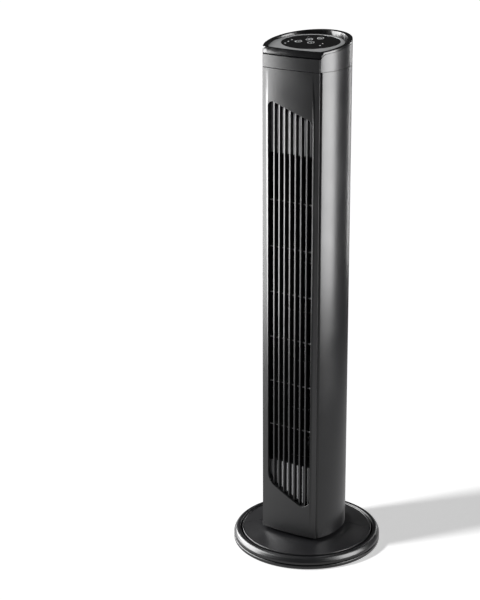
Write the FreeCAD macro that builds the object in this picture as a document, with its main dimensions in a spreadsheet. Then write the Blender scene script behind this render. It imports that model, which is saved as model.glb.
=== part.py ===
import FreeCAD, Part
import math
import os
import re

import Sketcher

# Tower fan: a round weighted base and a slim column that swings on it.
# Frame: origin at the centre of the base on the floor, +Z up, air leaves towards -Y,
# +X is to the right of somebody who faces the fan. Lengths are millimetres.

SIZES = {
    # Column plan: an oval whose front is trimmed by a shallow arc.
    "oval_half_width": 70.5,
    "oval_half_depth": 83.5,
    "oval_centre": -8.9,
    "front_radius": 368.3,
    "front_centre": 302.8,
    "corner_back": -61.4,
    "shell_wall": 2.2,
    "panel_wall": 2.5,
    "fit_gap": 0.3,
    "column_bottom": 36.1,
    "seam_height": 868.5,
    "seam_gap": 0.6,
    # Front panel between the shell's two front edges.
    "shell_edge": 53.0,
    "panel_edge": 51.8,
    "flange_wall": 2.0,
    "flange_back": -52.0,
    "flange_inset": 1.0,
    "panel_return": 3.0,
    "mouth_depth": 8.0,
    # Grille opening: a window with slanted top and bottom edges.
    "window_half": 42.0,
    "window_top_left": 817.0,
    "window_top_right": 787.0,
    "window_bottom_left": 128.0,
    "window_bottom_right": 84.0,
    "window_corner_small": 9.0,
    "window_corner_large": 15.0,
    "window_corner_wide": 26.0,
    "window_frame": 2.0,
    "window_frame_back": -54.5,
    "slat_width": 3.0,
    "slat_pitch": 10.43,
    "slat_inset": 1.0,
    "slat_back": -57.0,
    "rib_height": 2.0,
    "rib_first": 235.2,
    "rib_pitch": 81.7,
    "baffle_front": -53.6,
    "baffle_wall": 1.8,
    "lower_baffle_top": 164.0,
    "upper_baffle_bottom": 725.0,
    "baffle_overlap": 6.0,
    # Rear intake grille.
    "intake_half": 46.0,
    "intake_bottom": 188.0,
    "intake_top": 702.0,
    "intake_margin": 8.0,
    "intake_slot": 3.6,
    "intake_pitch": 8.0,
    "intake_rib": 2.4,
    "intake_rib_depth": 5.0,
    "intake_rib_spread": 21.0,
    "intake_inset": 0.5,
    "intake_wall": 1.8,
    "intake_rib_inset": 2.0,
    # Cap and control panel; depths are measured down from the sloping rim plane.
    "rim_front": 900.2,
    "rim_slope": 0.101,
    "rim_plate": 2.8,
    "rim_gap": 0.7,
    "rim_width": 7.5,
    "cap_corner": 11.5,
    "cap_front_top": 889.8,
    "band_bottom": 890.4,
    "band_lean": 0.42,
    "band_inset": 0.7,
    "band_overlap": 3.0,
    "housing_bottom": 874.0,
    "housing_inset": 2.6,
    "housing_wall": 2.6,
    "well_depth": 5.2,
    "bezel_depth": 2.0,
    "deck_wall": 2.8,
    "trough_depth": 14.0,
    "bay_half": 41.5,
    "bay_front": -46.0,
    "bay_back": 31.5,
    "bezel_half_width": 61.0,
    "bezel_half_depth": 53.0,
    "bezel_centre": -5.0,
    "lens_half_width": 51.0,
    "lens_half_depth": 43.5,
    "lens_centre": 1.0,
    "lens_depth": 2.3,
    "lens_thick": 2.4,
    "lens_play": 0.15,
    "button_radius": 6.2,
    "button_proud": 0.3,
    "button_gap": 0.3,
    "button_flange": 1.2,
    "button_flange_thick": 0.9,
    "button_stem": 1.8,
    "button_travel": 0.8,
    "light_radius": 1.3,
    "board_depth": 14.5,
    "board_thick": 1.6,
    "board_half_width": 39.5,
    "board_front": -42.0,
    "board_back": 29.5,
    "switch_half": 3.0,
    "switch_height": 3.4,
    # Blower.
    "blower_back": 8.0,
    "impeller_radius": 42.0,
    "impeller_bottom": 172.0,
    "segment_height": 90.0,
    "disc_thick": 2.0,
    "blade_root": 33.5,
    "blade_tip": 40.6,
    "blade_lead": 4.2,
    "blade_radius": 7.5,
    "blade_wall": 1.2,
    "hub_radius": 12.0,
    "hub_height": 16.0,
    "collar_wall": 2.0,
    "collar_height": 5.0,
    "stub_radius": 3.0,
    "stub_length": 24.0,
    "shaft_radius": 4.0,
    "shaft_bottom": 98.0,
    "shaft_end": 4.0,
    "bush_wall": 3.0,
    "bush_height": 8.0,
    "running_gap": 0.05,
    "scroll_radius": 50.0,
    "duct_wall": 1.6,
    "duct_front": -50.0,
    "duct_floor_top": 163.0,
    "duct_plate": 3.0,
    "duct_ceiling_bottom": 722.0,
    "scroll_end": -14.0,
    "tongue_side": 45.0,
    "tongue_back": -4.0,
    "tongue_start": 20.0,
    "tongue_reach": 8.0,
    # Internal leads: holes in the level plates, and the bundle that passes through them.
    "lead_hole_inner": 38.0,
    "lead_hole_outer": 54.0,
    "lead_hole_front": 30.0,
    "lead_hole_back": 44.0,
    "loom_side": 46.0,
    "loom_back": 37.0,
    "loom_bottom": 90.0,
    "loom_bend": 12.0,
    "loom_aim": 20.0,
    "loom_tail": 14.0,
    "loom_drop": 14.0,
    "loom_radius": 2.2,
    # Fan motor, hung under the duct floor.
    "motor_radius": 41.0,
    "motor_bottom": 102.0,
    "motor_split": 127.0,
    "motor_top": 152.0,
    "motor_wall": 2.0,
    "stator_inner": 27.0,
    "stator_bottom": 112.0,
    "stator_top": 142.0,
    "rotor_radius": 26.5,
    "mount_radius": 5.0,
    "mount_circle": 33.0,
    "capacitor_half": 18.0,
    "capacitor_front": -48.0,
    "capacitor_back": -33.0,
    "capacitor_bottom": 60.0,
    "capacitor_top": 88.0,
    # Swing drive.
    "tooth_module": 1.25,
    "tooth_backlash": 0.3,
    "tooth_addendum": 0.8,
    "tooth_dedendum": 1.05,
    "gear_teeth": 48,
    "pinion_teeth": 12,
    "gear_bottom": 51.0,
    "gear_thick": 5.0,
    "gear_bore": 12.0,
    "spigot_radius": 20.3,
    "spigot_bottom": 46.0,
    "pinion_back": 37.5,
    "pinion_shaft": 2.5,
    "pinion_shaft_reach": 12.0,
    "pinion_socket": 14.0,
    "pinion_clearance": 2.0,
    "swing_motor_radius": 25.0,
    "swing_motor_back": 40.0,
    "swing_motor_bottom": 62.0,
    "swing_motor_top": 82.0,
    "bracket_half": 36.0,
    "bracket_bottom": 59.8,
    "bracket_front": 30.0,
    "bracket_back": 52.0,
    "leg_front": 33.0,
    "leg_back": 44.0,
    "leg_wide": 4.0,
    # Pivot between base and column.
    "turret_flange": 40.0,
    "turret_flange_thick": 4.0,
    "turret_radius": 33.0,
    "turret_wall": 3.5,
    "turret_shoulder": 36.0,
    "journal_radius": 24.0,
    "journal_top": 51.0,
    "washer_thick": 1.1,
    "chassis_bottom": 37.2,
    "chassis_wall": 3.0,
    "chassis_hub": 29.0,
    "chassis_hub_top": 50.6,
    "boss_half": 5.0,
    "boss_below": 8.0,
    "boss_above": 5.0,
    "boss_depth": 12.0,
    # Round base.
    "base_radius": 131.8,
    "foot_height": 1.5,
    "foot_radius": 8.0,
    "foot_circle": 112.0,
    "pan_floor": 4.0,
    "pan_hole": 9.0,
    "pan_round": 1.2,
    "lip_inner": 128.3,
    "lip_top": 8.0,
    "ring_bottom": 9.0,
    "ring_skirt": 127.6,
    "ring_wall": 2.4,
    "ring_shoulder": 14.4,
    "ring_top": 21.6,
    "ring_crown_out": 127.2,
    "ring_crown_in": 120.6,
    "ring_inner": 118.2,
    "ring_inner_bottom": 12.0,
    "ring_undercut": 2.2,
    "ring_edge": 1.4,
    "ring_bevel": 3.4,
    "ring_slack": 0.6,
    "ring_round": 8.0,
    "ring_round_in": 3.0,
    "disc_radius": 116.6,
    "disc_edge": 22.6,
    "disc_bead": 1.8,
    "disc_step": 0.8,
    "disc_step_round": 0.5,
    "disc_wall": 2.4,
    "disc_skirt_bottom": 12.0,
    "dome_radius": 80.0,
    "dome_height": 30.2,
    "dome_round": 60.0,
    "crown_height": 31.2,
    "disc_hole": 34.5,
    "disc_seam": 0.5,
    "seam_turn": 26.0,
    "ballast_inner": 46.0,
    "ballast_outer": 92.0,
    "ballast_thick": 4.5,
    "gland_radius": 5.0,
    "gland_bore": 3.6,
    "gland_height": 14.2,
    "gland_outer_end": 131.4,
    "gland_inner_end": 117.4,
    # Fasteners.
    "screw_radius": 1.5,
    "screw_head": 3.2,
    "screw_head_height": 1.6,
    "screw_gap": 0.1,
    "screw_start": 1.7,
    "base_screw_length": 15.0,
    "turret_screw_length": 3.8,
    "gear_screw_length": 10.0,
    "motor_screw_length": 13.0,
    "rear_screw_length": 12.0,
    "pan_screw_circle": 100.0,
    "turret_screw_circle": 36.5,
    "turret_screw_pilot": 3.6,
    "gear_screw_circle": 22.2,
    "gear_screw_pilot": 7.0,
    "rear_screw_side": 30.0,
    "rear_screw_low": 48.0,
    "rear_screw_high": 844.0,
    "small_screw_scale": 0.7,
    "top_frame_bottom": 833.5,
    "cup_radius": 5.6,
    "cup_bottom": 57.0,
    "cup_floor": 2.0,
    "cup_wall": 1.4,
    "post_radius": 4.0,
    "post_top": 24.0,
    "post_hole_top": 20.0,
    # Construction: how far tools pass their work, and small clearances.
    "overrun": 1.0,
    "play": 0.2,
    "tool_gap": 10.0,
    "tool_lead": 40.0,
    "head_room": 30.0,
    "beyond": 200.0,
}

SLATS = 7
RIBS = 6
SEGMENTS = 6
BLADES = 24
FEET = 6
PRESSURE_ANGLE = 20.0
TOLERANCE = 0.01
BUTTONS = {
    "button_power": (-21.0, -3.5),
    "button_speed": (-10.0, 13.0),
    "button_timer": (2.5, -3.5),
    "button_swing": (4.5, 25.5),
}
LIGHTS = [(-37.0, 1.8), (-37.0, -9.2), (-36.6, -20.2), (24.0, -2.5), (25.5, -13.7)]

X_AXIS = FreeCAD.Vector(1, 0, 0)
Y_AXIS = FreeCAD.Vector(0, 1, 0)
Z_AXIS = FreeCAD.Vector(0, 0, 1)
FAR = "beyond"

document = FreeCAD.newDocument("TowerFan")
sheet = document.addObject("Spreadsheet::Sheet", "Sizes")
for row, (alias, number_of_alias) in enumerate(SIZES.items(), start=1):
    sheet.set("A%d" % row, alias)
    sheet.set("B%d" % row, str(number_of_alias))
    sheet.setAlias("B%d" % row, alias)
probe = document.addObject("Part::Vertex", "Probe")
document.recompute()


def sized(text):
    """Expression with the sheet's name put before every alias in it."""
    def named(found):
        word = found.group()
        return "Sizes." + word if word in SIZES else word
    return re.sub(r"[a-z][a-z_]*[a-z]", named, text)


def number(text):
    """Present value of an expression, read back from a vertex that follows it."""
    probe.setExpression("X", sized(text))
    probe.recompute()
    return probe.X.Value


def bind(item, links):
    """Make properties of an object follow expressions."""
    for path, text in links.items():
        item.setExpression(path, sized(text))
    return item


def block(name, x, y, z):
    """Box from a (low, high) pair of expressions along each axis."""
    item = document.addObject("Part::Box", name)
    return bind(item, {
        "Length": "(%s) - (%s)" % (x[1], x[0]),
        "Width": "(%s) - (%s)" % (y[1], y[0]),
        "Height": "(%s) - (%s)" % (z[1], z[0]),
        "Placement.Base.x": x[0],
        "Placement.Base.y": y[0],
        "Placement.Base.z": z[0],
    })


def rod(name, radius, z, x="0", y="0"):
    """Upright cylinder between two heights."""
    item = document.addObject("Part::Cylinder", name)
    return bind(item, {
        "Radius": radius,
        "Height": "(%s) - (%s)" % (z[1], z[0]),
        "Placement.Base.x": x,
        "Placement.Base.y": y,
        "Placement.Base.z": z[0],
    })


def lying_rod(name, radius, y, x="0", z="0"):
    """Cylinder along Y between two depths."""
    item = document.addObject("Part::Cylinder", name)
    item.Placement.Rotation = FreeCAD.Rotation(X_AXIS, -90)
    return bind(item, {
        "Radius": radius,
        "Height": "(%s) - (%s)" % (y[1], y[0]),
        "Placement.Base.x": x,
        "Placement.Base.y": y[0],
        "Placement.Base.z": z,
    })


def cut(name, base, tool):
    item = document.addObject("Part::Cut", name)
    item.Base = base
    item.Tool = tool
    return item


def fuse(name, *pieces):
    item = document.addObject("Part::MultiFuse", name)
    item.Shapes = list(pieces)
    return item


def common(name, *pieces):
    item = document.addObject("Part::MultiCommon", name)
    item.Shapes = list(pieces)
    return item


def ring(name, outer, inner, z, x="0", y="0"):
    """Upright tube between two heights."""
    body = rod(name + "_outer", outer, z, x, y)
    bore = rod(name + "_bore", inner, ("(%s) - overrun" % z[0], "(%s) + overrun" % z[1]), x, y)
    return cut(name, body, bore)


def oval(name, half_width, half_depth, centre, z):
    """Upright prism with an oval plan."""
    edge = document.addObject("Part::Ellipse", name + "_edge")
    wide = number(half_width) > number(half_depth)
    edge.Placement.Rotation = FreeCAD.Rotation(Z_AXIS, 0 if wide else 90)
    bind(edge, {
        "MajorRadius": half_width if wide else half_depth,
        "MinorRadius": half_depth if wide else half_width,
        "Placement.Base.y": centre,
        "Placement.Base.z": z[0],
    })
    item = document.addObject("Part::Extrusion", name)
    item.Base = edge
    item.DirMode = "Custom"
    item.Dir = Z_AXIS
    item.Solid = True
    return bind(item, {"LengthFwd": "(%s) - (%s)" % (z[1], z[0])})


def core(name, inset, z):
    """Upright prism with the column's plan, moved inwards by an inset."""
    side = oval(
        name + "_side", "oval_half_width - (%s)" % inset, "oval_half_depth - (%s)" % inset,
        "oval_centre", z)
    front = rod(name + "_arc", "front_radius - (%s)" % inset, z, y="front_centre")
    return common(name, side, front)


def above(name, depth):
    """Block that fills everything above a plane parallel to the sloping rim."""
    item = document.addObject("Part::Box", name)
    item.Placement.Rotation = FreeCAD.Rotation(X_AXIS, math.degrees(math.atan(SIZES["rim_slope"])))
    return bind(item, {
        "Length": FAR,
        "Width": FAR,
        "Height": FAR,
        "Placement.Rotation.Angle": "atan(rim_slope)",
        "Placement.Base.x": "-(%s) / 2" % FAR,
        "Placement.Base.y": "corner_back - tool_lead",
        "Placement.Base.z": "rim_front - tool_lead * rim_slope - (%s)" % depth,
    })


def panel_rod(name, radius, depths, x, y):
    """Cylinder square to the sloping panel, between two depths below the rim plane."""
    item = document.addObject("Part::Cylinder", name)
    item.Placement.Rotation = FreeCAD.Rotation(X_AXIS, math.degrees(math.atan(SIZES["rim_slope"])))
    deep = depths[1]
    return bind(item, {
        "Radius": radius,
        "Height": "(%s) - (%s)" % (deep, depths[0]),
        "Placement.Rotation.Angle": "atan(rim_slope)",
        "Placement.Base.x": x,
        "Placement.Base.y": "(%s) + (%s) * sin(atan(rim_slope))" % (y, deep),
        "Placement.Base.z": "rim_front + ((%s) - corner_back) * rim_slope"
                            " - (%s) * cos(atan(rim_slope))" % (y, deep),
    })


def origin_plane(body, role):
    return [item for item in body.Origin.OriginFeatures if item.Role == role][0]


def hold(sketch, kind, corner, text):
    """Keep one coordinate of a sketch corner equal to an expression."""
    if abs(number(text)) < 1e-9:
        axis = -2 if kind == "DistanceX" else -1
        sketch.addConstraint(Sketcher.Constraint("PointOnObject", corner, 1, axis))
        return
    place = sketch.addConstraint(Sketcher.Constraint(kind, -1, 1, corner, 1, number(text)))
    sketch.setExpression("Constraints[%d]" % place, sized(text))


def polygon(body, plane, points):
    """Closed sketch through corners given as pairs of expressions."""
    sketch = body.newObject("Sketcher::SketchObject", body.Name + "_sketch")
    sketch.AttachmentSupport = [(origin_plane(body, plane), "")]
    sketch.MapMode = "FlatFace"
    corners = [FreeCAD.Vector(number(across), number(up), 0) for across, up in points]
    for start, end in zip(corners, corners[1:] + corners[:1]):
        sketch.addGeometry(Part.LineSegment(start, end), False)
    count = len(points)
    for index in range(count):
        following = (index + 1) % count
        sketch.addConstraint(Sketcher.Constraint("Coincident", index, 2, following, 1))
    for index, (across, up) in enumerate(points):
        hold(sketch, "DistanceX", index, across)
        hold(sketch, "DistanceY", index, up)
    return sketch


def rounded(body, feature, chosen, radius):
    """Fillet on the edges of a feature that a test picks."""
    document.recompute()
    names = [
        "Edge%d" % place
        for place, edge in enumerate(feature.Shape.Edges, start=1)
        if chosen(edge)
    ]
    if not names:
        raise ValueError("no edge to round on " + body.Label)
    item = body.newObject("PartDesign::Fillet", body.Name + "_fillet")
    item.Base = (feature, names)
    bind(item, {"Radius": radius})
    body.Tip = item
    return item


def hoop_at(radius, height):
    """Test that picks the circular edge of a given radius and height."""
    across = number(radius)
    level = number(height)

    def picks(edge):
        curve = edge.Curve
        return (
            curve.TypeId == "Part::GeomCircle"
            and abs(curve.Radius - across) < TOLERANCE
            and abs(curve.Center.z - level) < TOLERANCE
        )
    return picks


def turned(name, points, rounds=()):
    """Body of revolution about Z from (radius, height) corners, with some edges rounded."""
    body = document.addObject("PartDesign::Body", name)
    sketch = polygon(body, "XZ_Plane", points)
    feature = body.newObject("PartDesign::Revolution", name + "_turn")
    feature.Profile = sketch
    feature.ReferenceAxis = (sketch, ["V_Axis"])
    feature.Angle = 360
    body.Tip = feature
    for radius, height, size in rounds:
        feature = rounded(body, feature, hoop_at(radius, height), size)
    return body


def screw(name, length, place, turn, scale=1.0):
    """Pan-head screw; its shank points up, or where a turn about X takes it."""
    head_height = SIZES["screw_head_height"] * scale
    head = Part.makeCylinder(SIZES["screw_head"] * scale, head_height)
    shank = Part.makeCylinder(SIZES["screw_radius"] * scale, head_height + length)
    item = document.addObject("Part::Feature", name)
    item.Shape = head.fuse(shank).removeSplitter()
    item.Placement = FreeCAD.Placement(place, FreeCAD.Rotation(X_AXIS, turn))
    return item


def around(radius, count, first_turn=0.0):
    """Places evenly spaced on a circle about the base's centre."""
    turns = [math.radians(first_turn + 360.0 * step / count) for step in range(count)]
    return [(radius * math.cos(turn), radius * math.sin(turn)) for turn in turns]


# ---------------------------------------------------------------- round base

PAN_SCREWS = around(SIZES["pan_screw_circle"], 6, 30.0)
TURRET_SCREWS = around(SIZES["turret_screw_circle"], 4, 45.0)
GEAR_SCREWS = around(SIZES["gear_screw_circle"], 3, 90.0)


def drilled(name, solid, places, z, radius="screw_radius + screw_gap"):
    """Solid with an upright hole at each place."""
    holes = [
        rod("%s_hole_%d" % (name, index), radius, z, repr(x), repr(y))
        for index, (x, y) in enumerate(places, start=1)
    ]
    return cut(name, solid, fuse(name + "_holes", *holes))


def base_pan():
    pan = turned("pan_turned", [
        ("pan_hole", "foot_height"),
        ("base_radius", "foot_height"),
        ("base_radius", "lip_top"),
        ("lip_inner", "lip_top"),
        ("lip_inner", "pan_floor"),
        ("pan_hole", "pan_floor"),
    ], [("base_radius", "foot_height", "pan_round"), ("base_radius", "lip_top", "pan_round")])
    sockets = PAN_SCREWS + TURRET_SCREWS
    seats = drilled("pan_drilled", pan, sockets, ("0", "pan_floor + overrun"))
    return drilled(
        "base_pan", seats, sockets, ("0", "screw_start + screw_head_height"),
        "screw_head + screw_gap")


def base_rim():
    rim = turned("rim_turned", [
        ("ring_skirt", "pan_floor"),
        ("ring_skirt", "ring_bottom"),
        ("base_radius - ring_undercut", "ring_bottom"),
        ("base_radius", "ring_bottom + ring_edge"),
        ("base_radius", "ring_shoulder"),
        ("ring_crown_out", "ring_top"),
        ("ring_crown_in", "ring_top"),
        ("ring_inner", "ring_top - ring_bevel"),
        ("ring_inner", "ring_inner_bottom"),
        ("ring_inner + ring_wall", "ring_inner_bottom"),
        ("ring_inner + ring_wall", "ring_top - ring_bevel - ring_slack"),
        ("ring_crown_in + 2 * ring_slack", "ring_top - ring_wall"),
        ("ring_crown_out - 2 * ring_slack", "ring_top - ring_wall"),
        ("base_radius - ring_wall", "ring_shoulder - ring_slack"),
        ("base_radius - ring_wall", "ring_bottom + ring_wall"),
        ("ring_skirt - ring_wall", "ring_bottom + ring_wall"),
        ("ring_skirt - ring_wall", "pan_floor"),
    ], [
        ("base_radius", "ring_shoulder", "ring_round"),
        ("ring_crown_out", "ring_top", "ring_round"),
        ("ring_crown_in", "ring_top", "ring_round_in"),
    ])
    opening = lying_rod(
        "rim_gland_hole", "gland_radius + running_gap",
        ("gland_inner_end - tool_gap", "base_radius + tool_gap"), z="gland_height")
    return cut("base_rim", rim, opening)


def base_disc():
    disc = turned("disc_turned", [
        ("disc_radius", "disc_skirt_bottom"),
        ("disc_radius", "disc_edge"),
        ("disc_radius - disc_bead", "disc_edge"),
        ("disc_radius - disc_bead - disc_step", "disc_edge - disc_step"),
        ("dome_radius", "dome_height"),
        ("disc_hole", "crown_height"),
        ("disc_hole", "crown_height - disc_wall"),
        ("dome_radius", "dome_height - disc_wall"),
        ("disc_radius - disc_wall", "disc_edge - disc_step - disc_wall"),
        ("disc_radius - disc_wall", "disc_skirt_bottom"),
    ], [
        ("disc_radius", "disc_edge", "disc_step"),
        ("disc_radius - disc_bead", "disc_edge", "disc_step_round"),
        ("dome_radius", "dome_height", "dome_round"),
    ])
    posts = [
        rod("disc_post_%d" % index, "post_radius", ("pan_floor", "post_top"), repr(x), repr(y))
        for index, (x, y) in enumerate(PAN_SCREWS, start=1)
    ]
    whole = drilled(
        "disc_whole", fuse("disc_posted", disc, *posts), PAN_SCREWS,
        ("pan_floor - overrun", "post_hole_top"))
    halves = []
    for name, low, high in (
        ("base_front_half", "-(%s)" % FAR, "-disc_seam / 2"),
        ("base_rear_half", "disc_seam / 2", FAR),
    ):
        side = document.addObject("Part::Box", name + "_side")
        side.Placement.Rotation = FreeCAD.Rotation(Z_AXIS, SIZES["seam_turn"])
        bind(side, {
            "Length": "2 * (%s)" % FAR,
            "Width": "(%s) - (%s)" % (high, low),
            "Height": FAR,
            "Placement.Rotation.Angle": "seam_turn",
            "Placement.Base.x": "-(%s) * cos(seam_turn) - (%s) * sin(seam_turn)" % (FAR, low),
            "Placement.Base.y": "-(%s) * sin(seam_turn) + (%s) * cos(seam_turn)" % (FAR, low),
        })
        halves.append(common(name, whole, side))
    return halves


def group(name, pieces):
    """Separate identical pieces kept in one node."""
    item = document.addObject("Part::Compound", name)
    item.Links = pieces
    return item


def screw_group(name, places, head_start, length, turn, scale=1.0):
    """Upright screws at several places in plan."""
    level = number(head_start)
    return group(name, [
        screw("%s_%d" % (name, index), length, FreeCAD.Vector(x, y, level), turn, scale)
        for index, (x, y) in enumerate(places, start=1)
    ])


def rubber_feet():
    return group("rubber_feet", [
        rod("foot_%d" % index, "foot_radius", ("0", "foot_height"), repr(x), repr(y))
        for index, (x, y) in enumerate(around(SIZES["foot_circle"], FEET), start=1)
    ])


def pivot_turret():
    turret = turned("turret_turned", [
        ("turret_flange", "pan_floor"),
        ("turret_flange", "pan_floor + turret_flange_thick"),
        ("turret_radius", "pan_floor + turret_flange_thick"),
        ("turret_radius", "turret_shoulder"),
        ("journal_radius", "turret_shoulder"),
        ("journal_radius", "journal_top"),
        ("journal_radius - turret_wall", "journal_top"),
        ("journal_radius - turret_wall", "turret_shoulder - turret_wall"),
        ("turret_radius - turret_wall", "turret_shoulder - turret_wall"),
        ("turret_radius - turret_wall", "pan_floor"),
    ])
    flange = drilled(
        "turret_flanged", turret, TURRET_SCREWS,
        ("pan_floor - overrun", "pan_floor + turret_screw_pilot"))
    return drilled(
        "pivot_turret", flange, GEAR_SCREWS,
        ("journal_top - gear_screw_pilot", "journal_top + overrun"),
        "screw_radius * small_screw_scale + screw_gap")


def tooth_outline(teeth, thickness):
    """Corners of one involute tooth, centred on +X, from root to tip and back."""
    pitch = SIZES["tooth_module"] * teeth / 2
    pressure = math.radians(PRESSURE_ANGLE)
    base = pitch * math.cos(pressure)
    tip = pitch + SIZES["tooth_addendum"] * SIZES["tooth_module"]
    root = pitch - SIZES["tooth_dedendum"] * SIZES["tooth_module"]
    half_turn = thickness / (2 * pitch)
    rolled = math.tan(pressure) - pressure
    steps = 5
    flank = [(root, half_turn + rolled)]
    start = max(root, base)
    for step in range(steps + 1):
        radius = start + (tip - start) * step / steps
        roll = math.acos(min(1.0, base / radius))
        flank.append((radius, half_turn + rolled - (math.tan(roll) - roll)))
    return flank


def toothed_wheel(name, teeth, turn, bottom, x, y):
    """Spur wheel with involute teeth, made as one prism."""
    thickness = math.pi * SIZES["tooth_module"] / 2 - SIZES["tooth_backlash"]
    flank = tooth_outline(teeth, thickness)
    corners = []
    for tooth in range(teeth):
        middle = math.radians(turn) + 2 * math.pi * tooth / teeth
        for radius, half in flank:
            corners.append((radius, middle - half))
        for radius, half in reversed(flank):
            corners.append((radius, middle + half))
    points = [
        FreeCAD.Vector(radius * math.cos(angle), radius * math.sin(angle), 0)
        for radius, angle in corners
    ]
    wire = Part.makePolygon(points + points[:1])
    item = document.addObject("Part::Feature", name)
    item.Shape = Part.Face(wire).extrude(Z_AXIS * SIZES["gear_thick"])
    item.Placement = FreeCAD.Placement(FreeCAD.Vector(x, y, SIZES[bottom]), FreeCAD.Rotation())
    return item


def swing_gear():
    teeth = toothed_wheel("gear_teeth_prism", SIZES["gear_teeth"], 90.0, "gear_bottom", 0, 0)
    spigot = rod("gear_spigot", "spigot_radius", ("spigot_bottom", "gear_bottom + overrun"))
    blank = fuse("gear_blank", teeth, spigot)
    bore = rod("gear_bore_tool", "gear_bore",
               ("spigot_bottom - overrun", "gear_bottom + gear_thick + overrun"))
    wheel = cut("gear_bored", blank, bore)
    return drilled(
        "swing_gear", wheel, GEAR_SCREWS,
        ("gear_bottom - gear_screw_pilot", "gear_bottom + gear_thick + overrun"),
        "screw_radius * small_screw_scale + screw_gap")


def cord_gland():
    body = lying_rod(
        "gland_body", "gland_radius", ("gland_inner_end", "gland_outer_end"), z="gland_height")
    bore = lying_rod(
        "gland_hole", "gland_bore", ("gland_inner_end - overrun", "gland_outer_end + overrun"),
        z="gland_height")
    return cut("cord_gland", body, bore)


def base_parts():
    front_half, rear_half = base_disc()
    return [
        base_pan(),
        base_rim(),
        front_half,
        rear_half,
        ring("ballast_ring", "ballast_outer", "ballast_inner",
             ("pan_floor", "pan_floor + ballast_thick")),
        rubber_feet(),
        screw_group("base_screws", PAN_SCREWS, "screw_start", SIZES["base_screw_length"], 0.0),
        pivot_turret(),
        screw_group(
            "turret_screws", TURRET_SCREWS, "screw_start", SIZES["turret_screw_length"], 0.0),
        ring("slide_washer", "turret_radius", "journal_radius + fit_gap",
             ("turret_shoulder", "turret_shoulder + washer_thick")),
        swing_gear(),
        screw_group(
            "gear_screws", GEAR_SCREWS,
            "gear_bottom + gear_thick + screw_head_height * small_screw_scale",
            SIZES["gear_screw_length"], 180.0, SIZES["small_screw_scale"]),
        cord_gland(),
    ]


# ------------------------------------------------------------ column casings

def window(name, grow):
    """Prism along Y with the slanted outline of the grille opening, grown evenly."""
    body = document.addObject("PartDesign::Body", name)
    half = "window_half + %s" % grow
    low = "(window_bottom_left - window_bottom_right) / (2 * window_half)"
    high = "(window_top_left - window_top_right) / (2 * window_half)"
    low_long = "sqrt(1 + (%s) * (%s))" % (low, low)
    high_long = "sqrt(1 + (%s) * (%s))" % (high, high)
    sketch = polygon(body, "XZ_Plane", [
        ("-(%s)" % half, "window_bottom_left - %s * (%s - %s)" % (grow, low_long, low)),
        (half, "window_bottom_right - %s * (%s + %s)" % (grow, low_long, low)),
        (half, "window_top_right + %s * (%s - %s)" % (grow, high_long, high)),
        ("-(%s)" % half, "window_top_left + %s * (%s + %s)" % (grow, high_long, high)),
    ])
    pad = body.newObject("PartDesign::Pad", name + "_pad")
    pad.Profile = sketch
    pad.Midplane = True
    bind(pad, {"Length": FAR})
    body.Tip = pad
    wide = number(half)

    waist = number("(window_bottom_left + window_top_left) / 2")

    def corner(side, upper):
        def picks(edge):
            middle = edge.CenterOfMass
            along = abs(edge.tangentAt(edge.FirstParameter).y) > 1 - TOLERANCE
            at_side = abs(middle.x - side * wide) < TOLERANCE
            return along and at_side and (middle.z > waist) == upper
        return picks
    feature = pad
    for side, upper, radius in (
        (-1, True, "window_corner_small"), (1, True, "window_corner_large"),
        (1, False, "window_corner_large"), (-1, False, "window_corner_wide"),
    ):
        feature = rounded(body, feature, corner(side, upper), "%s + %s" % (radius, grow))
    return body


def front_skin(name, z):
    """Curved front plate between the shell's edges, with a return flange down each side."""
    skin = cut(
        name + "_skin", core(name + "_face", "0", z),
        core(name + "_hollow", "panel_wall", ("(%s) - overrun" % z[0], "(%s) + overrun" % z[1])))
    plate = common(
        name + "_plate", skin,
        block(name + "_span", ("-panel_edge", "panel_edge"),
              ("front_centre - front_radius - tool_gap", "corner_back + panel_return"), z))
    flanges = common(
        name + "_flanges", core(name + "_flange_face", "flange_inset", z),
        fuse(name + "_flange_pair", *[
            block("%s_flange_%s" % (name, side), span,
                  ("front_centre - front_radius", "flange_back"), z)
            for side, span in (
                ("left", ("-panel_edge", "flange_wall - panel_edge")),
                ("right", ("panel_edge - flange_wall", "panel_edge")),
            )
        ]))
    return fuse(name, plate, flanges)


def front_panel():
    z = ("column_bottom", "seam_height - seam_gap / 2")
    skin = front_skin("panel_blank", z)
    opening = window("window_opening", "0")
    border = window("window_border", "window_frame")
    open_skin = cut("panel_open", skin, opening)
    frame_span = block(
        "frame_span", ("-panel_edge", "panel_edge"),
        ("front_centre - front_radius", "window_frame_back"), z)
    frame_depth = common("frame_depth", core("frame_face", "play", z), frame_span)
    frame = common("frame_ring", cut("frame_hollow", border, opening), frame_depth)
    slats = [
        block("slat_%d" % index,
              ("%d * slat_pitch - slat_width / 2" % (index - SLATS // 2),
               "%d * slat_pitch + slat_width / 2" % (index - SLATS // 2)),
              ("front_centre - front_radius", "slat_back"),
              ("window_bottom_right - tool_gap", "window_top_left + tool_gap"))
        for index in range(SLATS)
    ]
    ribs = [
        block("rib_%d" % index, ("-window_half - overrun", "window_half + overrun"),
              ("slat_back - overrun", "window_frame_back"),
              ("rib_first + %d * rib_pitch - rib_height / 2" % index,
               "rib_first + %d * rib_pitch + rib_height / 2" % index))
        for index in range(RIBS)
    ]
    inside = window("window_inside", "overrun")
    bars = common(
        "grille_bars", fuse("grille_all", *slats), inside,
        core("slat_face", "slat_inset", ("column_bottom", "seam_height")))
    cross = common("grille_cross", fuse("rib_all", *ribs), inside)
    return fuse("front_panel", open_skin, frame, bars, cross)


def baffle(name, z):
    return block(
        name, ("-window_half - overrun", "window_half + overrun"),
        ("baffle_front", "baffle_front + baffle_wall"), z)


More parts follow.
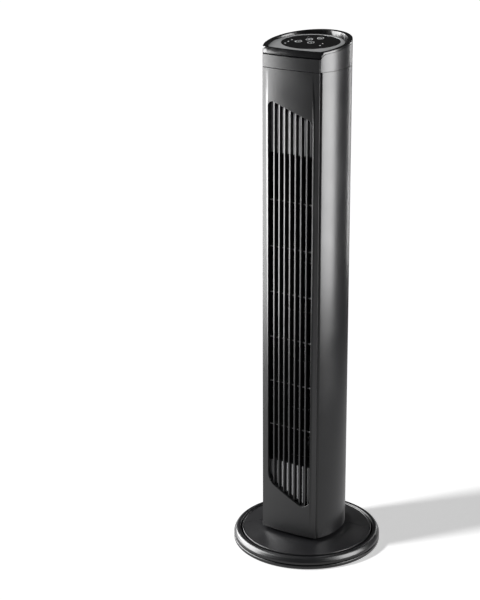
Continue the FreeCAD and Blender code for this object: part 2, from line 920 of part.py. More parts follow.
def shell_tube(name, z):
    """Side and rear wall of the column, open at the front."""
    wall = cut(
        name + "_wall", core(name + "_outside", "0", z),
        core(name + "_inside", "shell_wall", ("(%s) - overrun" % z[0], "(%s) + overrun" % z[1])))
    mouth = block(
        name + "_mouth", ("-shell_edge", "shell_edge"),
        ("front_centre - front_radius - tool_gap", "corner_back + mouth_depth"),
        ("(%s) - overrun" % z[0], "(%s) + overrun" % z[1]))
    return cut(name + "_tube", wall, mouth)


REAR_SCREWS = [
    (side * SIZES["rear_screw_side"], SIZES[level])
    for level in ("rear_screw_low", "rear_screw_high") for side in (-1, 1)
]


def rear_shell():
    z = ("column_bottom", "seam_height - seam_gap / 2")
    tube = shell_tube("shell", z)
    intake = block(
        "intake_window", ("-intake_half", "intake_half"), ("0", FAR),
        ("intake_bottom", "intake_top"))
    cups = []
    tools = [intake]
    for index, (x, level) in enumerate(REAR_SCREWS, start=1):
        place = (repr(x), repr(level))
        cups.append(lying_rod(
            "screw_cup_%d" % index, "cup_radius", ("cup_bottom", FAR), *place))
        tools.append(lying_rod(
            "screw_well_%d" % index, "cup_radius - cup_wall", ("cup_bottom + cup_floor", FAR), *place))
        tools.append(lying_rod(
            "shell_screw_hole_%d" % index, "screw_radius + screw_gap",
            ("cup_bottom - overrun", "cup_bottom + cup_floor + overrun"), *place))
    wells = common("screw_cups", fuse("all_cups", *cups), core("cup_trim", "0", z))
    return cut("rear_shell", fuse("shell_solid", tube, wells), fuse("shell_openings", *tools))


def rear_grille():
    """Louvred screen set in the rear opening: level slots with upright ribs behind them."""
    z = ("intake_bottom + fit_gap", "intake_top - fit_gap")
    wall = cut(
        "grille_wall", core("grille_outside", "intake_inset", z),
        core("grille_inside", "intake_inset + intake_wall", z))
    screen = common(
        "grille_screen", wall,
        block("grille_span", ("-intake_half + fit_gap", "intake_half - fit_gap"), ("0", FAR), z))
    count = int((SIZES["intake_top"] - SIZES["intake_bottom"] - 2 * SIZES["intake_margin"])
                / SIZES["intake_pitch"])
    slots = [
        block("slot_%d" % index,
              ("-intake_half + intake_margin", "intake_half - intake_margin"), ("0", FAR),
              ("intake_bottom + intake_margin + %d * intake_pitch" % index,
               "intake_bottom + intake_margin + %d * intake_pitch + intake_slot" % index))
        for index in range(count)
    ]
    louvres = cut("grille_louvres", screen, fuse("grille_slots", *slots))
    backing = cut(
        "rib_wall", core("rib_outside", "intake_rib_inset", z),
        core("rib_inside", "intake_rib_inset + intake_rib_depth", z))
    uprights = common("grille_uprights", backing, fuse("upright_spans", *[
        block("upright_%d" % index,
              ("%d * intake_rib_spread - intake_rib / 2" % index,
               "%d * intake_rib_spread + intake_rib / 2" % index), ("0", FAR), z)
        for index in (-1, 0, 1)
    ]))
    return fuse("rear_grille", louvres, uprights)


def rear_screws():
    """Screws through the rear wall into the bosses of the chassis and the top frame."""
    back = number("cup_bottom + cup_floor + screw_head_height")
    return group("rear_screws", [
        screw("rear_screw_%d" % index, SIZES["rear_screw_length"],
              FreeCAD.Vector(x, back, level), 90.0)
        for index, (x, level) in enumerate(REAR_SCREWS, start=1)
    ])


def bosses(name, level):
    """Blocks that the rear screws bite into, with their pilot holes."""
    sides = (-SIZES["rear_screw_side"], SIZES["rear_screw_side"])
    pieces = [
        block("%s_%d" % (name, index), ("%r - boss_half" % x, "%r + boss_half" % x),
              ("cup_bottom - boss_depth", "cup_bottom - play"),
              ("%s - boss_below" % level, "%s + boss_above" % level))
        for index, x in enumerate(sides, start=1)
    ]
    holes = [
        lying_rod("%s_hole_%d" % (name, index), "screw_radius + screw_gap",
                  ("cup_bottom - boss_depth + overrun", "cup_bottom"), repr(x), level)
        for index, x in enumerate(sides, start=1)
    ]
    return pieces, holes


def inner_plate(name, z):
    """Level plate that fits inside the shell, behind the front panel."""
    return common(
        name, core(name + "_plan", "shell_wall + fit_gap", z),
        block(name + "_span", ("-%s" % FAR, FAR), ("duct_front", FAR), z))


def bottom_chassis():
    plate = inner_plate("chassis_plate", ("chassis_bottom", "chassis_bottom + chassis_wall"))
    hub = rod("chassis_hub_rod", "chassis_hub", ("chassis_bottom", "chassis_hub_top"))
    pieces, holes = bosses("chassis_boss", "rear_screw_low")
    bore = rod("chassis_bore", "journal_radius + running_gap",
               ("chassis_bottom - overrun", "chassis_hub_top + overrun"))
    return cut("bottom_chassis", fuse("chassis_solid", plate, hub, *pieces),
               fuse("chassis_holes", bore, *holes))


def lead_hole(name, z):
    """Tool for the passage of the internal leads through a level plate."""
    return block(
        name, ("lead_hole_inner", "lead_hole_outer"), ("lead_hole_front", "lead_hole_back"),
        ("(%s) - overrun" % z[0], "(%s) + overrun" % z[1]))


def top_frame():
    z = ("top_frame_bottom", "top_frame_bottom + duct_plate")
    plate = inner_plate("frame_plate", z)
    pieces, holes = bosses("frame_boss", "rear_screw_high")
    return cut("top_frame", fuse("frame_solid", plate, *pieces),
               fuse("frame_holes", lead_hole("frame_lead_hole", z), *holes))


# ---------------------------------------------------------- cap and controls

def corner_prism(name, gap):
    """Space in front of and above the rounded top-front corner of the cap's side walls."""
    radius = "cap_corner + %s" % gap
    centre_back = "corner_back + cap_corner"
    centre_up = "rim_front + cap_corner * rim_slope - rim_plate - rim_gap - cap_corner"
    corner = block(
        name + "_corner", ("-%s" % FAR, FAR), ("front_centre - front_radius - tool_gap", centre_back),
        (centre_up, "rim_front + head_room"))
    round_tool = document.addObject("Part::Cylinder", name + "_round")
    round_tool.Placement.Rotation = FreeCAD.Rotation(Y_AXIS, 90)
    bind(round_tool, {
        "Radius": radius,
        "Height": "2 * (%s)" % FAR,
        "Placement.Base.x": "-(%s)" % FAR,
        "Placement.Base.y": centre_back,
        "Placement.Base.z": centre_up,
    })
    return cut(name, corner, round_tool)


def cap_shell():
    tube = shell_tube("cap", ("seam_height + seam_gap / 2", "rim_front + head_room"))
    lowered = cut("cap_sloped", tube, above("cap_top", "rim_plate + rim_gap"))
    return cut("cap_shell", lowered, corner_prism("cap_rounding", "0"))


def cap_front():
    return front_skin("cap_front", ("seam_height + seam_gap / 2", "cap_front_top"))


def leaning_front(name):
    """Upright to the band's lower edge, then leaning back like a shallow cone."""
    low = rod(name + "_low", "front_radius", ("housing_bottom - overrun", "band_bottom"),
              y="front_centre")
    high = document.addObject("Part::Cone", name + "_high")
    bind(high, {
        "Radius1": "front_radius",
        "Radius2": "front_radius - tool_lead * band_lean",
        "Height": "tool_lead",
        "Placement.Base.y": "front_centre",
        "Placement.Base.z": "band_bottom",
    })
    return fuse(name, low, high)


def bezel_plan(name, grow, z):
    """Plan of the control bezel: an oval whose front half fills the rim."""
    side = oval(name + "_oval", "bezel_half_width + %s" % grow, "bezel_half_depth + %s" % grow,
                "bezel_centre", z)
    front = block(name + "_front", ("-%s" % FAR, FAR), ("-%s" % FAR, "bezel_centre"), z)
    return fuse(name, side, front)


def control_housing():
    z = ("housing_bottom", "rim_front + head_room")
    inner = cut(
        "housing_inner", core("housing_core", "housing_inset", z),
        block("cap_front_space", ("-%s" % FAR, FAR), ("-%s" % FAR, "flange_back + rim_gap"),
              ("housing_bottom - overrun", "band_bottom")))
    band = common(
        "housing_band", core("band_core", "band_inset", ("band_bottom", "rim_front + head_room")),
        block("band_span", ("-shell_edge", "shell_edge"), ("-%s" % FAR, "flange_back + band_overlap"), z))
    corners = common(
        "housing_corners", core("corner_core", "band_inset", z),
        corner_prism("corner_fill", "rim_gap"),
        fuse("corner_sides",
             block("corner_left", ("-%s" % FAR, "-panel_edge - fit_gap"), ("-%s" % FAR, "0"), z),
             block("corner_right", ("panel_edge + fit_gap", FAR), ("-%s" % FAR, "0"), z)))
    rim = cut("rim_plate", core("rim_core", "0", z), rim_underside())
    solid = common("housing_solid", fuse("housing_stack", inner, band, corners, rim),
                   leaning_front("housing_lean"))
    topped = cut("housing_topped", solid, above("housing_top", "0"))
    well = common("well", core("well_plan", "rim_width", z), above("well_floor", "well_depth"))
    trough = common(
        "trough", cut("trough_plan", core("trough_core", "rim_width", z),
                      bezel_plan("trough_inner", "0", z)),
        above("trough_floor", "trough_depth"))
    hollow = cut(
        "hollow", core("hollow_plan", "housing_inset + housing_wall", z),
        above("hollow_roof", "trough_depth + deck_wall"))
    bay = cut(
        "bay", block("bay_plan", ("-bay_half", "bay_half"), ("bay_front", "bay_back"), z),
        above("bay_roof", "well_depth + deck_wall"))
    tools = [well, trough, hollow, bay]
    for index, (x, y) in enumerate(BUTTONS.values(), start=1):
        tools.append(panel_rod(
            "deck_window_%d" % index, "button_radius + button_flange + button_gap",
            ("0", "trough_depth"), repr(x), repr(y)))
    for index, (x, y) in enumerate(LIGHTS, start=1):
        tools.append(panel_rod(
            "deck_light_%d" % index, "light_radius + screw_gap", ("0", "board_depth"),
            repr(x), repr(y)))
    return cut("control_housing", topped, fuse("housing_tools", *tools))


def rim_underside():
    """Everything below the rim plate."""
    z = ("housing_bottom - overrun", "rim_front + head_room")
    space = block("rim_space", ("-%s" % FAR, FAR), ("-%s" % FAR, FAR), z)
    return cut("rim_below", space, above("rim_bottom", "rim_plate"))


def panel_slice(name, plan, top, bottom):
    """Part of an upright prism between two depths below the rim plane."""
    lower = common(name + "_lower", plan, above(name + "_under", bottom))
    return cut(name, lower, above(name + "_over", top))


def control_bezel():
    z = ("housing_bottom", "rim_front + head_room")
    plan = common(
        "bezel_outline", core("bezel_core", "rim_width + fit_gap", z),
        bezel_plan("bezel_back", "-fit_gap", z),
        leaning_front("bezel_lean"))
    plate = panel_slice("bezel_plate", plan, "bezel_depth", "well_depth")
    hole = oval("bezel_hole", "lens_half_width + lens_play", "lens_half_depth + lens_play",
                "lens_centre", z)
    return cut("control_bezel", plate, hole)


def panel_lens():
    z = ("housing_bottom", "rim_front + head_room")
    plan = oval("lens_plan", "lens_half_width", "lens_half_depth", "lens_centre", z)
    plate = panel_slice("lens_plate", plan, "lens_depth", "lens_depth + lens_thick")
    holes = [
        panel_rod("lens_button_%d" % index, "button_radius + button_gap", ("0", "trough_depth"),
                  repr(x), repr(y))
        for index, (x, y) in enumerate(BUTTONS.values(), start=1)
    ]
    holes += [
        panel_rod("lens_light_%d" % index, "light_radius + screw_gap", ("0", "trough_depth"),
                  repr(x), repr(y))
        for index, (x, y) in enumerate(LIGHTS, start=1)
    ]
    return cut("panel_lens", plate, fuse("lens_holes", *holes))


def push_button(name, x, y):
    """Round key, its captive flange under the lens and its stem down to the switch."""
    x, y = repr(x), repr(y)
    flange_top = "lens_depth + lens_thick + button_gap"
    key = panel_rod(name + "_key", "button_radius", ("lens_depth - button_proud", flange_top), x, y)
    flange = panel_rod(
        name + "_flange", "button_radius + button_flange",
        (flange_top, "%s + button_flange_thick" % flange_top), x, y)
    stem = panel_rod(
        name + "_stem", "button_stem",
        ("%s + button_flange_thick" % flange_top,
         "board_depth - switch_height - button_travel - button_gap"), x, y)
    return fuse(name, key, flange, stem)


def indicator_lights():
    return group("indicator_lights", [
        panel_rod("light_%d" % index, "light_radius", ("lens_depth - running_gap", "board_depth - play"),
                  repr(x), repr(y))
        for index, (x, y) in enumerate(LIGHTS, start=1)
    ])


def control_board():
    z = ("housing_bottom", "rim_front + head_room")
    plan = block("board_plan", ("-board_half_width", "board_half_width"),
                 ("board_front", "board_back"), z)
    return panel_slice("control_board", plan, "board_depth", "board_depth + board_thick")


def tact_switches():
    z = ("housing_bottom", "rim_front + head_room")
    return group("tact_switches", [
        panel_slice(
            "switch_%d" % index,
            block("switch_plan_%d" % index,
                  ("%r - switch_half" % x, "%r + switch_half" % x),
                  ("%r - switch_half" % y, "%r + switch_half" % y), z),
            "board_depth - switch_height", "board_depth")
        for index, (x, y) in enumerate(BUTTONS.values(), start=1)
    ])


# ------------------------------------------------------------------- blower

def blade_sketch(body):
    """Plan of one forward-curved blade, between two concentric arcs."""
    sketch = body.newObject("Sketcher::SketchObject", body.Name + "_blade_sketch")
    sketch.AttachmentSupport = [(origin_plane(body, "XY_Plane"), "")]
    sketch.MapMode = "FlatFace"
    root = (number("blade_root"), 0.0)
    tip = (number("blade_tip"), number("blade_lead"))
    inner = number("blade_radius")
    outer = number("blade_radius + blade_wall")
    half = math.dist(root, tip) / 2
    middle = ((root[0] + tip[0]) / 2, (root[1] + tip[1]) / 2)
    rise = math.sqrt(inner * inner - half * half)
    along = ((tip[0] - root[0]) / (2 * half), (tip[1] - root[1]) / (2 * half))
    centre = (middle[0] - along[1] * rise, middle[1] + along[0] * rise)

    def on_arc(radius, point):
        reach = math.dist(centre, point)
        return FreeCAD.Vector(
            centre[0] + (point[0] - centre[0]) * radius / reach,
            centre[1] + (point[1] - centre[1]) * radius / reach, 0)
    near = [on_arc(inner, point) for point in (root, middle, tip)]
    far = [on_arc(outer, point) for point in (root, middle, tip)]
    sketch.addGeometry(Part.Arc(*near), False)
    sketch.addGeometry(Part.LineSegment(near[2], far[2]), False)
    sketch.addGeometry(Part.Arc(far[2], far[1], far[0]), False)
    sketch.addGeometry(Part.LineSegment(far[0], near[0]), False)
    return sketch


def impeller_segment(index):
    """Moulded stage of the impeller: a disc that carries a ring of curved blades."""
    name = "impeller_stage_%d" % (index + 1)
    body = document.addObject("PartDesign::Body", name)
    hole = "shaft_radius + play" if index < 1 else "hub_radius"
    disc = polygon(body, "XZ_Plane", [
        (hole, "0"), ("impeller_radius", "0"), ("impeller_radius", "disc_thick"),
        (hole, "disc_thick"),
    ])
    turn = body.newObject("PartDesign::Revolution", name + "_disc")
    turn.Profile = disc
    turn.ReferenceAxis = (disc, ["V_Axis"])
    turn.Angle = 360
    blade = body.newObject("PartDesign::Pad", name + "_blade")
    blade.Profile = blade_sketch(body)
    bind(blade, {"Length": "segment_height"})
    body.Tip = blade
    document.recompute()
    pattern = body.newObject("PartDesign::PolarPattern", name + "_blades")
    pattern.Originals = [blade]
    pattern.Axis = (disc, ["V_Axis"])
    pattern.Angle = 360
    pattern.Occurrences = BLADES
    body.Tip = pattern
    return bind(body, {
        "Placement.Base.y": "blower_back",
        "Placement.Base.z": "impeller_bottom + %d * segment_height" % index,
    })


def impeller_parts():
    top = "impeller_bottom + %d * segment_height" % SEGMENTS
    cap = rod("end_disc", "impeller_radius", (top, "%s + disc_thick" % top), y="blower_back")
    stub = rod("end_stub", "stub_radius", (top, "%s + stub_length" % top), y="blower_back")
    collar = rod("end_collar", "stub_radius + collar_wall", (top, "%s + collar_height" % top),
                 y="blower_back")
    hub = ring(
        "impeller_hub", "hub_radius - fit_gap", "shaft_radius",
        ("impeller_bottom + disc_thick", "impeller_bottom + disc_thick + hub_height"),
        y="blower_back")
    rotor = rod("rotor_drum", "rotor_radius", ("stator_bottom", "stator_top"), y="blower_back")
    shaft = rod("rotor_shaft", "shaft_radius",
                ("shaft_bottom", "impeller_bottom + disc_thick + hub_height + shaft_end"),
                y="blower_back")
    stages = [impeller_segment(index) for index in range(SEGMENTS)]
    return stages + [
        fuse("impeller_end_disc", cap, stub, collar), hub, fuse("motor_rotor", rotor, shaft)]


def motor_cup(name, z, floor_z):
    """Half of the motor's case: a wall and an end plate with the shaft's bearing hole."""
    wall = ring(name + "_wall", "motor_radius", "motor_radius - motor_wall", z, y="blower_back")
    end = rod(name + "_end", "motor_radius", floor_z, y="blower_back")
    hole = rod(name + "_bearing", "shaft_radius + running_gap",
               ("motor_bottom - overrun", "motor_top + overrun"), y="blower_back")
    return cut(name, fuse(name + "_solid", wall, end), hole)


MOTOR_SCREWS = [
    (x, y + SIZES["blower_back"]) for x, y in around(SIZES["mount_circle"], 4, 45.0)
]


def fan_motor():
    lower = motor_cup("motor_case_lower", ("motor_bottom", "motor_split"),
                      ("motor_bottom", "motor_bottom + motor_wall"))
    upper = motor_cup("motor_case_top", ("motor_split", "motor_top"),
                      ("motor_top - motor_wall", "motor_top"))
    upper = drilled("motor_case_upper", upper, MOTOR_SCREWS,
                    ("motor_top - motor_wall - overrun", "motor_top + overrun"))
    stator = ring("motor_stator", "motor_radius - motor_wall - screw_gap", "stator_inner",
                  ("stator_bottom", "stator_top"), y="blower_back")
    mounts = group("motor_mounts", [
        ring("motor_mount_%d" % index, "mount_radius", "screw_radius + screw_gap",
             ("motor_top", "duct_floor_top - duct_plate"), repr(x), repr(y))
        for index, (x, y) in enumerate(MOTOR_SCREWS, start=1)
    ])
    screws = screw_group(
        "motor_screws", MOTOR_SCREWS, "duct_floor_top + screw_head_height",
        SIZES["motor_screw_length"], 180.0)
    return [lower, upper, stator, mounts, screws]


def air_duct():
    floor_z = ("duct_floor_top - duct_plate", "duct_floor_top")
    floor = inner_plate("floor_plate", floor_z)
    through_floor = ("duct_floor_top - duct_plate - overrun", "duct_floor_top + overrun")
    shaft_hole = rod("floor_shaft_hole", "shaft_radius + bush_wall", through_floor, y="blower_back")
    floor = cut("floor_open", floor, fuse(
        "floor_holes", lead_hole("floor_lead_hole", floor_z), shaft_hole))
    floor = drilled("duct_floor", floor, MOTOR_SCREWS, through_floor)
    ceiling_z = ("duct_ceiling_bottom", "duct_ceiling_bottom + duct_plate")
    ceiling = cut("duct_ceiling", inner_plate("ceiling_plate", ceiling_z), fuse(
        "ceiling_holes", lead_hole("ceiling_lead_hole", ceiling_z),
        rod("ceiling_bearing_hole", "hub_radius",
            ("duct_ceiling_bottom - overrun", "duct_ceiling_bottom + duct_plate + overrun"),
            y="blower_back")))
    z = ("duct_floor_top", "duct_ceiling_bottom")
    arc = common(
        "scroll_arc",
        ring("scroll_tube", "scroll_radius + duct_wall", "scroll_radius", z, y="blower_back"),
        block("scroll_quarter", ("-%s" % FAR, "scroll_end"), ("blower_back", FAR), z))
    flat = block("scroll_flat", ("-scroll_radius - duct_wall", "-scroll_radius"),
                 ("duct_front", "blower_back"), z)
    scroll = fuse("scroll_wall", flat, arc)
    lip = common(
        "tongue_arc",
        ring("tongue_tube", "tongue_side + duct_wall", "tongue_side", z, y="blower_back"),
        block("tongue_span", ("tongue_start", FAR),
              ("tongue_back", "blower_back + tongue_reach"), z))
    side = block("tongue_side_wall", ("tongue_side - overrun", "tongue_side + duct_wall - overrun"),
                 ("duct_front", "tongue_back"), z)
    return [floor, ceiling, scroll, fuse("stabiliser", lip, side)]


def top_bearing():
    z = ("duct_ceiling_bottom - overrun", "duct_ceiling_bottom - overrun + bush_height")
    bush = ring("bearing_bush", "stub_radius + bush_wall", "stub_radius + running_gap", z,
                y="blower_back")
    holder = ring("bearing_mount", "hub_radius - play", "stub_radius + bush_wall + running_gap", z,
                  y="blower_back")
    return [bush, holder]


# -------------------------------------------------------------- swing drive

def swing_drive():
    motor = rod("swing_motor_can", "swing_motor_radius",
                ("swing_motor_bottom", "swing_motor_top"), y="swing_motor_back")
    socket = rod("swing_motor_bore", "pinion_shaft + running_gap",
                 ("swing_motor_bottom - overrun", "swing_motor_bottom + pinion_socket"),
                 y="pinion_back")
    motor = cut("swing_motor", motor, socket)
    plate = block("bracket_plate", ("-bracket_half", "bracket_half"),
                  ("bracket_front", "bracket_back"), ("bracket_bottom", "swing_motor_bottom"))
    legs = [
        block("bracket_leg_%d" % index, span, ("leg_front", "leg_back"),
              ("chassis_bottom + chassis_wall", "bracket_bottom + overrun"))
        for index, span in enumerate(
            (("-bracket_half", "leg_wide - bracket_half"),
             ("bracket_half - leg_wide", "bracket_half")), start=1)
    ]
    clear = rod("bracket_hole", "pinion_shaft + pinion_clearance",
                ("bracket_bottom - overrun", "swing_motor_bottom + overrun"), y="pinion_back")
    bracket = cut("swing_bracket", fuse("bracket_solid", plate, *legs), clear)
    wheel = toothed_wheel(
        "pinion_teeth_prism", SIZES["pinion_teeth"], -90.0 + 180.0 / SIZES["pinion_teeth"],
        "gear_bottom", 0, SIZES["pinion_back"])
    spindle = rod("pinion_spindle", "pinion_shaft",
                  ("gear_bottom", "swing_motor_bottom + pinion_shaft_reach"), y="pinion_back")
    return [motor, bracket], [fuse("swing_pinion", wheel, spindle)]


def run_capacitor():
    return block("run_capacitor", ("-capacitor_half", "capacitor_half"),
                 ("capacitor_front", "capacitor_back"), ("capacitor_bottom", "capacitor_top"))


def wiring_loom():
    """Bundle of leads from the motor bay up the side of the column to the control board."""
    bend = SIZES["loom_bend"]
    foot = FreeCAD.Vector(SIZES["loom_side"], SIZES["loom_back"], SIZES["loom_bottom"])
    high = number("rim_front - board_depth - loom_drop")
    top = FreeCAD.Vector(foot.x, foot.y, high)
    inward = FreeCAD.Vector(
        SIZES["loom_aim"] - foot.x, SIZES["loom_aim"] - foot.y, 0).normalize()
    centre = top + inward * bend
    middle = centre + (inward * -1 + Z_AXIS).normalize() * bend
    crest = centre + Z_AXIS * bend
    path = Part.Wire([
        Part.LineSegment(foot, top).toShape(),
        Part.Arc(top, middle, crest).toShape(),
        Part.LineSegment(crest, crest + inward * SIZES["loom_tail"]).toShape(),
    ])
    ring_wire = Part.Wire([Part.Circle(foot, Z_AXIS, SIZES["loom_radius"]).toShape()])
    item = document.addObject("Part::Feature", "wiring_loom")
    item.Shape = path.makePipeShell([ring_wire], True, True)
    return item


def column_parts():
    drive, pinion = swing_drive()
    column = [
        bottom_chassis(),
        rear_shell(),
        rear_grille(),
        rear_screws(),
        front_panel(),
        baffle("lower_baffle", ("window_bottom_right - baffle_overlap", "lower_baffle_top")),
        baffle("upper_baffle", ("upper_baffle_bottom", "window_top_left + baffle_overlap")),
        top_frame(),
        cap_shell(),
        cap_front(),
        control_housing(),
        control_bezel(),
        panel_lens(),
        indicator_lights(),
        control_board(),
        tact_switches(),
        run_capacitor(),
        wiring_loom(),
    ]
    return column + drive + fan_motor() + air_duct() + top_bearing(), pinion


def write(parts):
    """Check every object and write each sub-part to its own file."""
    document.recompute()
    for item in document.Objects:
        if "Invalid" in item.State or "Error" in item.State:
            raise RuntimeError("%s did not recompute: %s" % (item.Name, item.State))
    os.makedirs("parts", exist_ok=True)
    for item in parts:
        item.Label = item.Name
        shape = item.Shape
        if shape.isNull() or not shape.isValid() or not shape.Solids:
            raise RuntimeError("%s has no valid solid" % item.Label)
        shape.exportStep("parts/%s.step" % item.Label)
        print("%-20s %2d solids %9.1f mm3" % (item.Label, len(shape.Solids), shape.Volume))


column, pinion = column_parts()
buttons = [push_button(name, x, y) for name, (x, y) in BUTTONS.items()]
write(base_parts() + column + pinion + impeller_parts() + buttons)
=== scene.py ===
import math

import bmesh
import bpy
from mathutils import Matrix, Vector


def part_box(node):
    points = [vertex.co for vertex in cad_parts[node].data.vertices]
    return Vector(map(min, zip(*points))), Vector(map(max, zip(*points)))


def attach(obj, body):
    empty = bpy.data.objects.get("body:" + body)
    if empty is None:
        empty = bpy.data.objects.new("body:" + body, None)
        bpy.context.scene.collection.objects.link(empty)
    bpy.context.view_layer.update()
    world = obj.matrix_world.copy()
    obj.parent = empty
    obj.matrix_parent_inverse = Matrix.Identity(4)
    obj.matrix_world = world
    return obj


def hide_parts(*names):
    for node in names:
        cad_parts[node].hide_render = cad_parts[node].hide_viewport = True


# Tower fan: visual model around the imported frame. Sizes are millimetres times MM.

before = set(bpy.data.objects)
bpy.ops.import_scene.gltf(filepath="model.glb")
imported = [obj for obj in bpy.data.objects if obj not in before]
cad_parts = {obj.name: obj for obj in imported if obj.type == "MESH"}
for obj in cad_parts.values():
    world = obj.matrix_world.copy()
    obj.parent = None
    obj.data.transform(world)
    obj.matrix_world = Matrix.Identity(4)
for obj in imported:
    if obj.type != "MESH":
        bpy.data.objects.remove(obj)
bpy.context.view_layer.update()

MM = 0.001

# Column plan: an oval whose front is trimmed by a shallow arc.
OVAL_HALF_WIDTH = 70.5 * MM
OVAL_HALF_DEPTH = 83.5 * MM
OVAL_CENTRE = -8.9 * MM
FRONT_RADIUS = 368.3 * MM
FRONT_CENTRE = 302.8 * MM
CORNER_BACK = -61.4 * MM
SHELL_WALL = 2.2 * MM
PANEL_WALL = 2.5 * MM
SHELL_EDGE = 53.0 * MM
PANEL_EDGE = 51.8 * MM
FLANGE_BACK = -52.0 * MM

# Grille opening and what fills it.
WINDOW_HALF = 42.0 * MM
WINDOW_TOP = (817.0 * MM, 787.0 * MM)
WINDOW_BOTTOM = (128.0 * MM, 84.0 * MM)
CORNER_SMALL = 9.0 * MM
CORNER_LARGE = 15.0 * MM
CORNER_WIDE = 26.0 * MM
WINDOW_FRAME = 2.0 * MM
WINDOW_FRAME_BACK = -54.5 * MM
SLATS = 7
SLAT_WIDTH = 3.0 * MM
SLAT_PITCH = 10.43 * MM
SLAT_INSET = 1.0 * MM
SLAT_BACK = -57.0 * MM
RIBS = 6
RIB_HEIGHT = 2.0 * MM
RIB_FIRST = 235.2 * MM
RIB_PITCH = 81.7 * MM
INTAKE_HALF = 46.0 * MM
INTAKE_MARGIN = 8.0 * MM
INTAKE_PITCH = 8.0 * MM
INTAKE_SLOT = 3.6 * MM
INTAKE_RIB = 2.4 * MM
INTAKE_RIB_SPREAD = 21.0 * MM
INTAKE_INSET = 0.5 * MM
INTAKE_WALL = 1.8 * MM
RIB_INSET = 2.4 * MM
RIB_DEPTH = 5.0 * MM
LOUVRE_WALL = 1.6 * MM
LOUVRE_INSET = 1.2 * MM
FIT_GAP = 0.3 * MM
SLAT_LEAN = math.radians(-10.0)
BAR_TUCK = 0.8 * MM

# Cups for the rear screws.
CUP_RADIUS = 5.6 * MM
CUP_WALL = 1.4 * MM
CUP_FLOOR = 2.0 * MM
CUP_HOLE = 1.6 * MM
CUP_SETBACK = 0.6 * MM
CUP_STEPS = 48
WELL_FLOOR = 57.0 * MM
WELL_LENGTH = 30.0 * MM

# Cap and control panel; depths are measured down from the sloping rim plane.
RIM_FRONT = 900.2 * MM
RIM_SLOPE = 0.101
RIM_UNDERSIDE = 3.5 * MM
CAP_CORNER = 11.5 * MM
LENS_DEPTH = 2.3 * MM
BUTTON_RADIUS = 6.2 * MM
BUTTON_PROUD = 0.3 * MM
BOARD_DEPTH = 14.0 * MM
LIGHT_RADIUS = 1.3 * MM
KEY_DISH = 0.25 * MM
KEY_THICK = 3.0 * MM
KEY_FLANGE = 1.2 * MM
KEY_FLANGE_BOTTOM = 3.9 * MM
KEY_STEM = 1.8 * MM
KEY_STEM_END = 8.0 * MM
KEY_SHIFT = 0.5 * MM
PRINT_LIFT = 0.05 * MM
PRINT_SINK = 0.03 * MM

# Round base, with profiles as radius, level and corner rounding in millimetres.
BASE_EDGE = 131.8
PAN_PROFILE = (
    (9.0, 1.5, 0.4), (BASE_EDGE, 1.5, 1.6), (BASE_EDGE, 8.0, 1.4), (128.3, 8.0, 0.5),
    (128.3, 4.0, 0.5), (9.0, 4.0, 0.4))
RING_PROFILE = (
    (127.6, 4.0, 0), (127.6, 9.0, 0.3), (129.6, 9.0, 0.3), (BASE_EDGE, 10.4, 1.0),
    (BASE_EDGE, 14.4, 8.0), (127.2, 21.6, 8.0), (120.6, 21.6, 3.0), (118.2, 18.2, 0.8),
    (118.2, 12.0, 0.3), (120.6, 12.0, 0.3), (120.6, 17.4, 0), (121.9, 19.2, 0),
    (126.0, 19.2, 0), (129.3, 13.8, 0), (129.3, 11.4, 0), (125.2, 11.4, 0), (125.2, 4.0, 0))
COVER_PROFILE = (
    (116.6, 12.0, 0.3), (116.6, 22.6, 0.9), (114.8, 22.6, 0.7), (114.0, 21.8, 0.3),
    (80.0, 30.2, 60.0), (34.5, 31.2, 0.8), (34.5, 28.8, 0.3), (80.0, 27.8, 60.0),
    (114.2, 19.4, 0), (114.2, 12.0, 0.3))
STAND_PROFILE = (
    (40.0, 4.0, 0.4), (40.0, 8.0, 0.8), (33.0, 8.0, 1.0), (33.0, 36.0, 0.6), (24.0, 36.0, 0),
    (24.0, 51.0, 0.4), (20.5, 51.0, 0.3), (20.5, 32.5, 0), (29.5, 32.5, 0), (29.5, 4.0, 0.3))
FOOT_PROFILE = ((0.0, 0.0, 0), (7.4, 0.0, 0.3), (8.0, 0.5, 0.3), (8.0, 1.5, 0), (0.0, 1.5, 0))
SEAM_TURN = math.radians(26.0)
SEAM_GAP = 0.5 * MM
FEET = 6
FOOT_CIRCLE = 112.0 * MM
SCREW_CIRCLE = 100.0 * MM
SCREW_HEAD = 3.2 * MM
SCREW_HEAD_HEIGHT = 1.6 * MM
SCREW_SHANK = 1.5 * MM
BASE_SCREW_START = 1.7 * MM
BASE_SCREW_LENGTH = 15.0 * MM
REAR_SCREW_LENGTH = 12.0 * MM

EASE = 0.45 * MM
ROUND_STEPS = 6
SPIN_STEPS = 192
PLAN_STEPS = 96
BREAK_ANGLE = 38.0


# ------------------------------------------------------------- node building

def node(tree, kind, inputs=(), **settings):
    """Node with its settings; an input is a plain value or another node's socket."""
    made = tree.nodes.new(kind)
    for name, value in settings.items():
        setattr(made, name, value)
    for name, value in dict(inputs).items():
        if isinstance(value, bpy.types.NodeSocket):
            tree.links.new(value, made.inputs[name])
        else:
            made.inputs[name].default_value = value
    return made


def reckon(tree, operation, *values):
    """One arithmetic step between sockets or plain values."""
    return node(tree, "ShaderNodeMath", dict(enumerate(values)), operation=operation).outputs[0]


def new_group(name, kind, inputs, outputs):
    """Empty node group with named sockets, and its two end nodes."""
    tree = bpy.data.node_groups.new(name, kind)
    for label, socket, value in inputs:
        made = tree.interface.new_socket(label, in_out="INPUT", socket_type=socket)
        if value is not None:
            made.default_value = value
    for label, socket in outputs:
        tree.interface.new_socket(label, in_out="OUTPUT", socket_type=socket)
    return tree, tree.nodes.new("NodeGroupInput"), tree.nodes.new("NodeGroupOutput")


